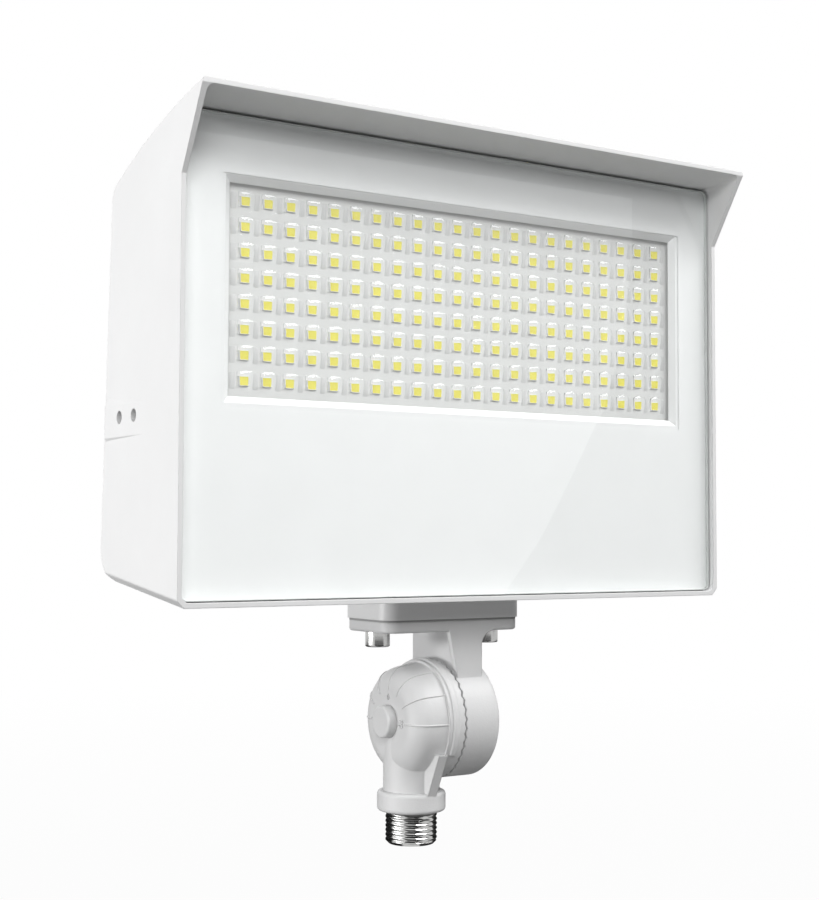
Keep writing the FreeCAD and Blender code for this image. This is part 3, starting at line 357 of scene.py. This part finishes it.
def clear(name, colour, ior, gloss):
    """A refracting shader that lets shadow rays straight through, with the faintest haze of handling."""
    finish, tree, shader = new_finish(name)
    shader.inputs["Base Color"].default_value = (*colour, 1)
    shader.inputs["Transmission Weight"].default_value = 1.0
    shader.inputs["IOR"].default_value = ior
    grain = place_group(tree, powder_grain, grain_scale=300.0, mottle_scale=18.0)
    vary_roughness(tree, shader, grain.outputs["Mottle"], *gloss)
    open_way = tree.nodes.new("ShaderNodeBsdfTransparent")
    open_way.inputs["Color"].default_value = (*colour, 1)
    path = tree.nodes.new("ShaderNodeLightPath")
    either = tree.nodes.new("ShaderNodeMixShader")
    soft = calculate(tree, "MAXIMUM", path.outputs["Is Shadow Ray"], path.outputs["Is Diffuse Ray"])
    tree.links.new(soft, either.inputs["Fac"])
    tree.links.new(shader.outputs["BSDF"], either.inputs[1])
    tree.links.new(open_way.outputs["BSDF"], either.inputs[2])
    tree.links.new(either.outputs["Shader"], tree.nodes["Material Output"].inputs["Surface"])
    return finish


clear_glass = clear("clear_glass", (0.985, 0.992, 0.99), 1.5, (0.0, 0.012))
lens_plastic = clear("lens_plastic", (0.98, 0.98, 0.98), 1.49, (0.04, 0.06))
print("clear finishes", clear_glass.name, lens_plastic.name)

# %% Phosphor


def phosphor(name, dark, light):
    """Yellow phosphor under clear resin: speckled, with a glossy coat."""
    finish, tree, shader = new_finish(name)
    grain = place_group(tree, powder_grain, grain_scale=5000.0, mottle_scale=900.0)
    vary_colour(tree, shader, grain.outputs["Height"], dark, light)
    vary_roughness(tree, shader, grain.outputs["Mottle"], 0.35, 0.5)
    shader.inputs["Coat Weight"].default_value = 0.3
    shader.inputs["Coat Roughness"].default_value = 0.08
    return finish


led_phosphor = phosphor("led_phosphor", (0.8, 0.71, 0.012), (0.88, 0.8, 0.03))
package_white = moulded("package_white", (0.86, 0.86, 0.86), (0.9, 0.9, 0.9), (0.3, 0.4))
print("phosphor", led_phosphor.name)

# %% [markdown]
# ## Dressing the frame's own solids
# The castings, screws and seals keep their shape. Each one only gets the finish that the record
# names for it, in the material slots that it already has.

# %% Finish every node
finishes = {
    "plated_steel": plated_steel, "knuckle_paint": knuckle_paint, "housing_paint": housing_paint,
    "seal_rubber": seal_rubber, "fastener_steel": fastener_steel, "clear_glass": clear_glass,
    "white_print": white_print, "frame_plastic": frame_plastic, "lens_plastic": lens_plastic,
    "board_white": board_white, "led_phosphor": led_phosphor, "driver_metal": driver_metal,
    "potting": potting, "block_plastic": block_plastic, "terminal_plastic": terminal_plastic,
    "ground_green": ground_green, "lead_insulation": lead_insulation,
}
for name, solid in nodes.items():
    for place in solid.material_slots:
        place.material = finishes[slot_of[name]]
print("finished", len(nodes), "nodes in", len(finishes), "finishes")

# %% [markdown]
# ## The nipple's thread
# The nipple is a half-inch pipe thread, and a thread is a helix: its crest climbs one pitch in every
# turn. We could sweep a profile along a spiral, but the sweep leaves two loose ends to hide. Here the
# tube is a grid of rings, and the radius of each point follows its height and its angle, so the crest
# winds by itself and the chamfer at the foot simply cuts it off.

# %% Threaded nipple
nipple_low, nipple_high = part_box("nipple")
thread_r = nipple_high.x
thread_pitch = 1.814 * mm
thread_depth = 0.42 * mm
thread_chamfer = 1.3 * mm
spigot_r = 8.5 * mm
bore_r = 6.5 * mm
thread_sides = 96
rings_per_turn = 14


def thread_radius(z, turn):
    """Radius of the thread at a height and a share of a turn: a plated ridge with a round crest and root."""
    wave = 0.5 - 0.5 * math.cos(math.tau * (z / thread_pitch + turn))
    end_cut = max(0.0, thread_chamfer - (z - nipple_low.z))
    return min(thread_r - thread_depth * wave, thread_r - end_cut)


def build_nipple():
    ring_count = round(-nipple_low.z / thread_pitch * rings_per_turn)
    profile = [(nipple_low.z, None)]
    profile += [(nipple_low.z * (1 - ring / ring_count), None) for ring in range(1, ring_count + 1)]
    profile += [(0.0, spigot_r), (nipple_high.z, spigot_r), (nipple_high.z, bore_r), (nipple_low.z, bore_r)]
    points = []
    for z, radius in profile:
        for side in range(thread_sides):
            turn = side / thread_sides
            reach = thread_radius(z, turn) if radius is None else radius
            angle = math.tau * turn
            points.append((reach * math.cos(angle), reach * math.sin(angle), z))
    faces = grid_faces(len(profile), thread_sides, closed_rows=True)
    piece = new_piece("threaded_nipple", points, faces, "mount_arm", "plated_steel", plated_steel)
    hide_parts("nipple")
    return piece


threaded_nipple = build_nipple()

# %% [markdown]
# ## The front pane
# The front glass is a plain sheet, but its edge is ground: matt, a little green and broken by a small
# arris at the front and the back. A solid of glass would shine along its edge like a light pipe. So
# the pane is drawn again as rings of points, with clear faces and a ground edge.

# %% Front pane
glass_low, glass_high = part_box("front_glass")
pane_corner = 3.0 * mm
pane_arris = 0.3 * mm
corner_steps = 8


def rounded_outline(low_x, high_x, low_z, high_z, radius):
    """Points round a rectangle with rounded corners, in X and Z."""
    outline = []
    middles = [
        (high_x - radius, high_z - radius, 0), (low_x + radius, high_z - radius, 90),
        (low_x + radius, low_z + radius, 180), (high_x - radius, low_z + radius, 270)]
    for x, z, first in middles:
        for step in range(corner_steps + 1):
            angle = math.radians(first + 90 * step / corner_steps)
            outline.append((x + radius * math.cos(angle), z + radius * math.sin(angle)))
    return outline


def build_pane():
    points = []
    trail = [
        (pane_arris, glass_low.y), (0.0, glass_low.y + pane_arris),
        (0.0, glass_high.y - pane_arris), (pane_arris, glass_high.y)]
    for inset, y in trail:
        outline = rounded_outline(
            glass_low.x + inset, glass_high.x - inset, glass_low.z + inset, glass_high.z - inset,
            pane_corner - inset)
        points += [(x, y, z) for x, z in outline]
    count = len(points) // len(trail)
    faces = grid_faces(len(trail), count)
    edge_faces = len(faces)
    faces.append(tuple(range(count)))
    faces.append(tuple(reversed(range(len(points) - count, len(points)))))
    piece = new_piece("front_pane", points, faces, "lamp_head", "clear_glass", clear_glass, ground_edge)
    for face in piece.data.polygons:
        face.material_index = 1 if face.index < edge_faces else 0
    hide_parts("front_glass")
    return piece


ground_edge = moulded("ground_edge", (0.6, 0.62, 0.61), (0.66, 0.68, 0.67), (0.45, 0.6))
front_pane = build_pane()

# %% [markdown]
# ## The printed border of the glass
# The white border is ink fired on the back of the glass. Ink and glass share one surface, and two
# surfaces in the same plane confuse a ray tracer, so this sheet lies a hair behind the glass. It is
# a rounded outline with a rounded window, bridged point by point.

# %% Border print
print_low, print_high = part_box("glass_print")
opening_low, opening_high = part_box("window_frame")
window_side = 4.0 * mm
window_low = 4.3 * mm
window_high = 2.9 * mm
frame_border_side = 11.6 * mm
frame_border_high = 12.2 * mm
window_corner = 1.0 * mm
border_corner = 3.0 * mm
ink_gap = 0.02 * mm


def build_border():
    outer = rounded_outline(print_low.x, print_high.x, print_low.z, print_high.z, border_corner)
    inner = rounded_outline(
        opening_low.x + frame_border_side - window_side, opening_high.x - frame_border_side + window_side,
        opening_low.z + frame_border_high - window_low, opening_high.z - frame_border_high + window_high,
        window_corner)
    front, back = print_low.y + ink_gap, print_high.y
    loops = [(outer, front), (inner, front), (inner, back), (outer, back)]
    points = [(x, y, z) for outline, y in loops for x, z in outline]
    faces = grid_faces(len(loops), len(outer), closed_rows=True)
    piece = new_piece("border_print", points, faces, "lamp_head", "white_print", white_print)
    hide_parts("glass_print")
    return piece


border_print = build_border()

# %% [markdown]
# ## The lens array
# One moulded plate carries a low lens for each emitter: straight at its sides, arched above, highest
# there and sinking into the plate below. Its upper edge rolls over and catches the lamp. Lenses could
# be blocks pushed into a plate, but the hidden faces where they meet would bend light as well. So the
# plate is tiled: each square cell is a set of rings that run from the middle of its lens out to the
# cell's straight edges, and the cells share those edges.

# %% Lens array
lens_low, lens_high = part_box("lens_plate")
chips_low, chips_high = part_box("led_chips")
field = (lens_low + lens_high) / 2
pitch = 9.5 * mm
columns = round((chips_high.x - chips_low.x) / pitch) + 1
rows = round((chips_high.z - chips_low.z) / pitch) + 1
lens_half_width = 3.45 * mm
lens_peak = 3.9 * mm
arch_r = 7.1 * mm
lens_tilts = [(0.0, 0.0), (0.56, 14.0), (0.6, 24.0), (0.94, 32.0), (0.98, 50.0)]
lens_wall = 75.0
foot_share = 0.15
steps_between = 3
sheet_thick = 1.0 * mm
cell_sides = 48
lens_room = 1.8 * mm
lens_face = lens_low.y + lens_room


def cell_places(across):
    """The middle of every cell in a field with so many columns, in X and Z, row by row."""
    for row in range(rows):
        for column in range(across):
            yield field.x + (column - (across - 1) / 2) * pitch, field.z + (row - (rows - 1) / 2) * pitch


def lens_reach(angle):
    """How far the lens's outline lies from its middle in a direction: a straight side or an arch."""
    across, up = abs(math.cos(angle)), abs(math.sin(angle))
    sink = arch_r - lens_peak
    arch = math.sqrt((up * sink) ** 2 + arch_r ** 2 - sink ** 2) - up * sink
    return arch if across == 0 else min(arch, lens_half_width / across)


def cell_profile():
    """Share of the outline that each ring of one cell takes, and how far it stands over the sheet."""
    rings = [(0.0, 0.0)]
    for (inner, inner_tilt), (outer, outer_tilt) in zip(lens_tilts, lens_tilts[1:]):
        width = (outer - inner) / steps_between
        for step in range(steps_between):
            tilt = inner_tilt + (outer_tilt - inner_tilt) * (step + 0.5) / steps_between
            rings.append((rings[-1][0] + width, rings[-1][1] + width * math.tan(math.radians(tilt))))
    rings.append((1.0, rings[-1][1] + (1 - rings[-1][0]) * math.tan(math.radians(lens_wall))))
    return [(share, (rings[-1][1] - drop) * lens_peak) for share, drop in rings]


def sink_share(rise):
    """What is left of the lens's stand at a height over its middle: all at the top, little at the foot."""
    return foot_share + (1 - foot_share) * (0.5 + 0.5 * rise / lens_peak)


def square_edge(angle, half):
    """The point of a square's edge in a direction."""
    x, z = math.cos(angle), math.sin(angle)
    grow = half / max(abs(x), abs(z))
    return x * grow, z * grow


def add_cell(points, faces, x, z):
    """One lens and the flat round it, out to the edges of its square."""
    first = len(points)
    top, *rings = cell_profile()
    points.append((x, lens_face - top[1] * sink_share(0.0), z))
    for share, stand in rings:
        for side in range(cell_sides):
            angle = math.tau * side / cell_sides
            reach = share * lens_reach(angle)
            rise = reach * math.sin(angle)
            points.append((x + reach * math.cos(angle), lens_face - stand * sink_share(rise), z + rise))
    for side in range(cell_sides):
        edge_x, edge_z = square_edge(math.tau * side / cell_sides, pitch / 2)
        points.append((x + edge_x, lens_face, z + edge_z))
    for side in range(cell_sides):
        faces.append((first, first + 1 + (side + 1) % cell_sides, first + 1 + side))
    faces += grid_faces(len(rings) + 1, cell_sides, first + 1)


def add_skirt(points, faces):
    """The plain margin round the cells, the sides and the back of the plate."""
    half_x = columns * pitch / 2
    half_z = rows * pitch / 2
    loops = [
        (field.x - half_x, field.x + half_x, field.z - half_z, field.z + half_z, lens_face),
        (lens_low.x, lens_high.x, lens_low.z, lens_high.z, lens_face),
        (lens_low.x, lens_high.x, lens_low.z, lens_high.z, lens_face + sheet_thick)]
    first = len(points)
    for low_x, high_x, low_z, high_z, y in loops:
        points += [(low_x, y, low_z), (high_x, y, low_z), (high_x, y, high_z), (low_x, y, high_z)]
    faces += grid_faces(len(loops), 4, first)
    faces.append(tuple(range(len(points) - 4, len(points))))


def build_lens_array():
    points, faces = [], []
    for x, z in cell_places(columns):
        add_cell(points, faces, x, z)
    add_skirt(points, faces)
    piece = new_piece("lens_array", points, faces, "lamp_head", "lens_plastic", lens_plastic)
    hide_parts("lens_plate")
    return piece


lens_array = build_lens_array()

# %% [markdown]
# ## The light emitters
# Each emitter is a little white package with a square pool of yellow phosphor in its top. Seen
# through its lens it looks larger than it is. One package is modelled with a bevelled rim and a
# sunken pool, then it is repeated over the board in one mesh with two finishes.

# %% Light emitters
board_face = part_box("led_board")[0].y
package_top = chips_low.y
package_half = 1.75 * mm
pool_half = 1.62 * mm
pool_sink = 0.08 * mm
package_bevel = 0.1 * mm
package_trail = [
    (package_half, board_face), (package_half, package_top + package_bevel),
    (package_half - package_bevel, package_top), (pool_half, package_top),
    (pool_half - pool_sink, package_top + pool_sink)]
square_corners = [(-1, -1), (1, -1), (1, 1), (-1, 1)]


def build_emitters():
    points, faces, pools = [], [], []
    for x, z in cell_places(columns):
        first = len(points)
        for half, y in package_trail:
            points += [(x + side * half, y, z + end * half) for side, end in square_corners]
        faces += grid_faces(len(package_trail), 4, first)
        pools.append(len(faces))
        faces.append(tuple(range(len(points) - 4, len(points))))
        faces.append(tuple(reversed(range(first, first + 4))))
    piece = new_piece(
        "light_emitters", points, faces, "lamp_head", "led_phosphor", package_white, led_phosphor)
    for index in pools:
        piece.data.polygons[index].material_index = 1
    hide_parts("led_chips")
    return piece


light_emitters = build_emitters()

# %% [markdown]
# ## Painted shade between the lens columns
# Between the emitters the board carries slightly greyer bars, seen through the lens plate: painted
# shade for the channels between the lens columns. They could be painted on the board as a pattern,
# but here each one is a thin slab with rounded corners that stands a hair off the board, and all of
# them are one mesh.

# %% Painted shade bars
shade_bar_half_width = 1.25 * mm
shade_bar_half_height = 3.1 * mm
shade_bar_round = 0.5 * mm
shade_bar_stand = 0.05 * mm
shade_bar_sink = 0.02 * mm
shade_bar_trail = [
    (0.0, board_face + shade_bar_sink), (0.0, board_face - shade_bar_stand / 2), (shade_bar_stand, board_face - shade_bar_stand)]


def build_shade_bars():
    points, faces = [], []
    for x, z in cell_places(columns + 1):
        first = len(points)
        for inset, y in shade_bar_trail:
            half_width, half_height = shade_bar_half_width - inset, shade_bar_half_height - inset
            outline = rounded_outline(
                x - half_width, x + half_width, z - half_height, z + half_height, shade_bar_round)
            points += [(edge_x, y, edge_z) for edge_x, edge_z in outline]
        count = len(outline)
        faces += grid_faces(len(shade_bar_trail), count, first)
        faces.append(tuple(range(len(points) - count, len(points))))
        faces.append(tuple(reversed(range(first, first + count))))
    return new_piece("shade_bars", points, faces, "lamp_head", "board_white", painted_channel_shade)


# A grey a little darker than the board: painted shade for the channels between the lens columns.
painted_channel_shade = moulded("painted_channel_shade", (0.62, 0.62, 0.615), (0.66, 0.66, 0.655), (0.3, 0.4), 0.05)
shade_bars = build_shade_bars()

# %% [markdown]
# ## The flange bolts
# Two socket-head bolts hold the knuckle's flange to the pad, and their heads catch the light under
# the housing. A bolt is a turned piece: a profile about an axis, with a hexagonal socket sunk in the
# head. The rounded rim of the head is what makes it gleam.

# %% Flange bolts
bolt_low, bolt_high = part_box("flange_bolts")
bolt_sides = 48
head_r = 5.0 * mm
head_height = 6.0 * mm
head_round = 0.8 * mm
shank_r = 3.0 * mm
socket_r = 2.9 * mm
socket_depth = 3.0 * mm
socket_corners = 6
bolt_tip_r = 0.02 * mm
rim_steps = 6


def bolt_profile():
    """Radius, height and corners of the rings of one bolt, from the socket's floor to the shank's end."""
    foot = bolt_low.z
    rings = [
        (bolt_tip_r, foot + socket_depth, socket_corners), (socket_r, foot + socket_depth, socket_corners),
        (socket_r, foot, socket_corners)]
    for step in range(rim_steps + 1):
        angle = math.radians(90 * step / rim_steps)
        rings.append((
            head_r - head_round + head_round * math.sin(angle),
            foot + head_round - head_round * math.cos(angle), 0))
    rings += [(head_r, foot + head_height, 0), (shank_r, foot + head_height, 0)]
    rings += [(shank_r, bolt_high.z - head_round, 0), (shank_r - head_round, bolt_high.z, 0)]
    rings.append((bolt_tip_r, bolt_high.z, 0))
    return rings


def corner_share(angle, corners):
    """How far a regular polygon's edge lies from its middle, as a share of its corner radius."""
    step = math.tau / corners
    return math.cos(step / 2) / math.cos((angle % step) - step / 2)


def build_flange_bolts():
    points, faces = [], []
    for x in (bolt_low.x + head_r, bolt_high.x - head_r):
        first = len(points)
        rings = bolt_profile()
        for radius, z, corners in rings:
            for side in range(bolt_sides):
                angle = math.tau * side / bolt_sides
                reach = radius * (corner_share(angle, corners) if corners else 1.0)
                points.append((x + reach * math.cos(angle), pivot.y + reach * math.sin(angle), z))
        faces += grid_faces(len(rings), bolt_sides, first)
        faces.append(tuple(first + side for side in range(bolt_sides)))
        last = first + (len(rings) - 1) * bolt_sides
        faces.append(tuple(last + side for side in reversed(range(bolt_sides))))
    piece = new_piece("flange_bolt_pair", points, faces, "lamp_head", "fastener_steel", fastener_steel)
    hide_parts("flange_bolts")
    return piece


flange_bolt_pair = build_flange_bolts()

# %% [markdown]
# ## Aiming marks on the dome
# The domed half of the knuckle carries a fan of cast ridges, one every thirty degrees, so that a
# fitter can read the tilt. Each ridge follows the dome's own outline: the flat face, the rounded
# shoulder and the drafted side. We rebuild that outline from its sizes and lay a low, rounded bead
# on it.

# %% Aiming ridges
dome_face = head_x - 21.6 * mm
dome_start = head_x - 6.2 * mm
dome_end_r = 20.6 * mm
dome_foot_r = 23.2 * mm
dome_round = 8.5 * mm
ridge_from_r = 12.3 * mm
ridge_width = 0.75 * mm
ridge_stand = 0.38 * mm
ridge_sink = 0.15 * mm
ridge_angles = range(-90, 91, 30)
shoulder_steps = 12


def dome_outline():
    """Points (x, radius) and outward normals along the dome, from its flat face to the raised band."""
    draft = math.atan2(dome_foot_r - dome_end_r, dome_start - dome_face)
    turn = math.pi / 2 - draft
    flat_r = dome_end_r - dome_round * math.tan(turn / 2)
    trail = [((dome_face, ridge_from_r), (-1.0, 0.0)), ((dome_face, flat_r), (-1.0, 0.0))]
    for step in range(1, shoulder_steps + 1):
        angle = math.pi - turn * step / shoulder_steps
        normal = (math.cos(angle), math.sin(angle))
        place = (dome_face + dome_round + dome_round * normal[0], flat_r + dome_round * normal[1])
        trail.append((place, normal))
    trail.append(((dome_start + ridge_stand, dome_foot_r), trail[-1][1]))
    return trail


def build_ridges():
    trail = dome_outline()
    across = [(-0.5, -ridge_sink), (-0.42, 0.55 * ridge_stand), (-0.2, ridge_stand)]
    across += [(-share, stand) for share, stand in reversed(across)]
    points, faces = [], []
    for degrees in ridge_angles:
        angle = math.radians(degrees)
        out = Vector((0, -math.sin(angle), math.cos(angle)))
        side = Vector((0, -math.cos(angle), -math.sin(angle)))
        first = len(points)
        for (x, radius), (normal_x, normal_r) in trail:
            base = Vector((x, pivot.y, pivot.z)) + out * radius
            normal = Vector((normal_x, 0, 0)) + out * normal_r
            points += [base + side * (share * ridge_width) + normal * stand for share, stand in across]
        faces += grid_faces(len(trail), len(across), first)
        last = first + (len(trail) - 1) * len(across)
        faces.append(tuple(first + index for index in range(len(across))))
        faces.append(tuple(last + index for index in reversed(range(len(across)))))
    return new_piece("aiming_ridges", points, faces, "mount_arm", "knuckle_paint", mark_paint)


aiming_ridges = build_ridges()

# %% [markdown]
# ## Plain numbers beside the marks
# Two raised numbers tell level from upright. They are text turned into a mesh, sunk a little in the
# casting so that no gap shows, and turned so that each reads outward from the pivot.

# %% Aiming numbers
number_height = 2.7 * mm
number_stand = 0.45 * mm
number_r = 9.6 * mm
number_bevel = 0.05 * mm
type_share = 1.35


def build_number(words, degrees):
    """One raised number on the dome's flat face, at an angle from the top."""
    text = bpy.data.curves.new("number_" + words, "FONT")
    text.body = words
    text.size = number_height * type_share
    text.extrude = number_stand
    text.bevel_depth = number_bevel
    text.align_x = "CENTER"
    text.align_y = "CENTER"
    drawn = bpy.data.objects.new("number_draft", text)
    bpy.context.scene.collection.objects.link(drawn)
    bpy.context.view_layer.update()
    mesh = bpy.data.meshes.new_from_object(drawn.evaluated_get(bpy.context.evaluated_depsgraph_get()))
    bpy.data.objects.remove(drawn)
    angle = math.radians(degrees)
    out = Vector((0, -math.sin(angle), math.cos(angle)))
    forward = Vector((-1, 0, 0))
    across = out.cross(forward)
    turn = Matrix((across, out, forward)).transposed().to_4x4()
    centre = Vector((dome_face, pivot.y, pivot.z)) + out * number_r
    mesh.transform(Matrix.Translation(centre) @ turn)
    piece = bpy.data.objects.new("aiming_number_" + words, mesh)
    bpy.context.scene.collection.objects.link(piece)
    mesh.materials.clear()
    mesh.materials.append(mark_paint)
    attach(piece, "mount_arm")
    print("number", words, len(mesh.vertices), "points")
    return piece


number_level = build_number("0", 0)
number_upright = build_number("90", 90)

# %% [markdown]
# ## The studio
# The floor is a wide flat sheet, well below the nipple. It looks white to the camera, to glossy
# surfaces and through glass, and it keeps a trace of shadow near the light. To soft bounces it is
# only a grey, so it does not wash out the shade under the hood.

# %% Floor
floor_z = -0.09
floor_half = 4.0
floor_fade = 0.4, 1.4


def sight_line(tree):
    """One for rays that a person would follow: straight, mirrored or through glass, but not bounced."""
    path = tree.nodes.new("ShaderNodeLightPath")
    seen = calculate(tree, "MAXIMUM", path.outputs["Is Camera Ray"], path.outputs["Is Glossy Ray"])
    seen = calculate(tree, "MAXIMUM", seen, path.outputs["Is Transmission Ray"])
    unbounced = calculate(tree, "LESS_THAN", path.outputs["Diffuse Depth"], 0.5)
    return calculate(tree, "MULTIPLY", seen, unbounced)


def stage_finish(name, colour, glow):
    """Pale paper: nearly plain white for the eye and wholly white far off, a grey sheet for soft light."""
    finish, tree, shader = new_finish(name)
    grain = place_group(tree, powder_grain, grain_scale=200.0, mottle_scale=3.0)
    vary_colour(tree, shader, grain.outputs["Mottle"], colour, [value + 0.02 for value in colour])
    shader.inputs["Roughness"].default_value = 0.9
    shader.inputs["Specular IOR Level"].default_value = 0.0
    shine = tree.nodes.new("ShaderNodeEmission")
    shine.inputs["Strength"].default_value = 1.0
    away = tree.nodes.new("ShaderNodeVectorMath")
    away.operation = "LENGTH"
    tree.links.new(object_place(tree), away.inputs[0])
    fade = tree.nodes.new("ShaderNodeMapRange")
    fade.inputs["From Min"].default_value = floor_fade[0]
    fade.inputs["From Max"].default_value = floor_fade[1]
    fade.inputs["To Min"].default_value = glow
    fade.inputs["To Max"].default_value = 1.0
    tree.links.new(away.outputs["Value"], fade.inputs["Value"])
    share = calculate(tree, "MULTIPLY", sight_line(tree), fade.outputs["Result"])
    either = tree.nodes.new("ShaderNodeMixShader")
    tree.links.new(share, either.inputs["Fac"])
    tree.links.new(shader.outputs["BSDF"], either.inputs[1])
    tree.links.new(shine.outputs["Emission"], either.inputs[2])
    tree.links.new(either.outputs["Shader"], tree.nodes["Material Output"].inputs["Surface"])
    return finish


def build_floor():
    mesh = bpy.data.meshes.new("studio_floor")
    corners = [(side * floor_half, end * floor_half, floor_z) for side, end in square_corners]
    mesh.from_pydata(corners, [], [(0, 1, 2, 3)])
    floor = bpy.data.objects.new("studio_floor", mesh)
    bpy.context.scene.collection.objects.link(floor)
    mesh.materials.append(stage_finish("pale_paper", (0.22, 0.22, 0.22), 0.97))


build_floor()
print("floor at", floor_z)

# %% World


def build_world(soft_level):
    """White to the eye, to gloss and through glass; a softer grey as fill light."""
    world = bpy.data.worlds.new("studio")
    world.use_nodes = True
    tree = world.node_tree
    back = tree.nodes["Background"]
    level = tree.nodes.new("ShaderNodeMapRange")
    level.inputs["To Min"].default_value = soft_level
    level.inputs["To Max"].default_value = 1.0
    tree.links.new(sight_line(tree), level.inputs["Value"])
    tree.links.new(level.outputs["Result"], back.inputs["Strength"])
    back.inputs["Color"].default_value = (1, 1, 1, 1)
    bpy.context.scene.world = world


build_world(0.09)
print("world set")

# %% [markdown]
# ## Lamps
# The main lamp hangs high on the right, in front. It lights the glass, draws a bright line along the
# top of every lens and leaves the knuckle in the shade of the housing. One in front at the left
# reaches under the hood. Two more on the left whiten the side: a low one that also reaches under the
# housing, and a high one. The last stands behind, so that the back looks as white as it is.

# %% Soft lamps


def soft_lamp(name, place, aim, size, power):
    """A rectangular area lamp that looks at a point."""
    lamp = bpy.data.lights.new(name, "AREA")
    lamp.shape = "RECTANGLE"
    lamp.size, lamp.size_y = size
    lamp.energy = power
    holder = bpy.data.objects.new(name, lamp)
    bpy.context.scene.collection.objects.link(holder)
    holder.location = place
    holder.rotation_euler = (Vector(aim) - Vector(place)).to_track_quat("-Z", "Y").to_euler()
    print("lamp", name, "at", place)
    return holder


middle = (head_x, 0.0, 0.17)
soft_lamp("main_lamp", (0.6, -0.78, 1.2), middle, (1.4, 0.42), 23.0)
front_lamp = soft_lamp("front_lamp", (-0.75, -1.1, 0.75), (head_x, 0.0, 0.19), (0.7, 0.3), 8.0)
low_lamp = soft_lamp("low_lamp", (-1.3, 0.2, 0.03), (head_x, 0.0, 0.1), (0.8, 0.2), 9.4)
high_lamp = soft_lamp("high_lamp", (-1.2, 0.0, 0.85), middle, (0.8, 0.5), 5.2)
rear_lamp = soft_lamp("rear_lamp", (0.5, 1.5, 0.3), middle, (1.2, 0.5), 10.0)
front_lamp.visible_glossy = False
rear_lamp.visible_glossy = False
for lamp in (front_lamp, low_lamp, high_lamp, rear_lamp):
    lamp.visible_transmission = False

# %% [markdown]
# ## Flags
# Bare steel shows whatever stands round it, and in an all-white room it looks like chalk. A studio
# photographer sets dark cards about it, and so do we. The camera does not see them. Two bent cards
# stand round the nipple, only for reflections, and the gaps between them become its bright streaks.
# One far in front gives the glass a darker edge, above and at the right.

# %% Dark cards
card_r = 0.3
card_low = floor_z + 0.001
card_trail = [(0.03, card_low), (card_r, card_low), (card_r, 0.03), (0.03, 0.012)]
card_bend = 5
glass_card_y = -1.2
glass_card_left = -0.6
glass_card_right = 2.2
glass_card_top = 1.3
glass_card_edge = [
    (0.85, -0.03), (0.883, 0.022), (0.95, 0.102), (1.002, 0.184), (1.042, 0.252),
    (1.063, 0.284), (1.089, 0.356), (1.108, 0.443), (1.116, 0.53), (1.117, 0.59)]


def dark_card(name, points, faces):
    """A stage card that only reflections see."""
    mesh = bpy.data.meshes.new(name)
    mesh.from_pydata(points, [], faces)
    mesh.materials.append(card_finish)
    card = bpy.data.objects.new(name, mesh)
    bpy.context.scene.collection.objects.link(card)
    card.visible_camera = False
    card.visible_diffuse = False
    card.visible_transmission = False
    card.visible_shadow = False
    print("card", name, len(points), "points")


def bent_card(name, first, last):
    """A card with a floor, a wall and a roof, bent round the nipple between two angles from the front."""
    points, faces = [], []
    steps = round((last - first) / card_bend)
    count = len(card_trail)
    for step in range(steps + 1):
        angle = math.radians(first + (last - first) * step / steps)
        for radius, z in card_trail:
            points.append((radius * math.sin(angle), -radius * math.cos(angle), z))
    for step in range(steps):
        for corner in range(step * count, (step + 1) * count - 1):
            faces.append((corner, corner + count, corner + count + 1, corner + 1))
    dark_card(name, points, faces)


def glass_card():
    """A tall card far in front, cut away at its lower left along a curve."""
    points = [(x, glass_card_y, z) for x, z in glass_card_edge]
    points += [(glass_card_right, glass_card_y, z) for x, z in glass_card_edge]
    count = len(glass_card_edge)
    faces = [(step, count + step, count + step + 1, step + 1) for step in range(count - 1)]
    last_z = glass_card_edge[-1][1]
    points += [(x, glass_card_y, last_z) for x in (glass_card_left, glass_card_right)]
    points += [(x, glass_card_y, glass_card_top) for x in (glass_card_right, glass_card_left)]
    faces.append(tuple(range(len(points) - 4, len(points))))
    dark_card("glass_card", points, faces)


card_finish = moulded("card_cloth", (0.02, 0.02, 0.02), (0.03, 0.03, 0.03), (0.8, 0.9))
bent_card("front_card", -60, 22)
bent_card("rear_card", 80, 235)
glass_card()

# %% [markdown]
# ## The camera
# The camera stands low at the left, a little over half a metre away. Its place and lens come from
# fitting the square grid of emitters in the photograph, so the frame drops on the picture without any
# nudging. There is no shift and no depth of field.

# %% Camera
camera_data = bpy.data.cameras.new("portrait_camera")
camera_data.sensor_fit = "VERTICAL"
camera_data.sensor_height = 36.0
camera_data.lens = 62.04
camera_data.clip_start = 0.01
camera = bpy.data.objects.new("portrait_camera", camera_data)
bpy.context.scene.collection.objects.link(camera)
camera.location = (-0.3464, -0.5323, 0.1123)
camera.rotation_euler = Euler([math.radians(angle) for angle in (93.0175, -0.2058, -32.9567)], "XYZ")
bpy.context.scene.camera = camera
bpy.context.scene.view_settings.view_transform = "Standard"
print("camera", [round(value, 4) for value in camera.location])

# %% [markdown]
# ## Naming what was made
# Last we name the pieces that were made.

# %% Pieces made
made = [
    threaded_nipple, front_pane, border_print, lens_array, light_emitters, shade_bars,
    flange_bolt_pair, aiming_ridges, number_level, number_upright]
print("pieces made:", ", ".join(piece.name for piece in made))
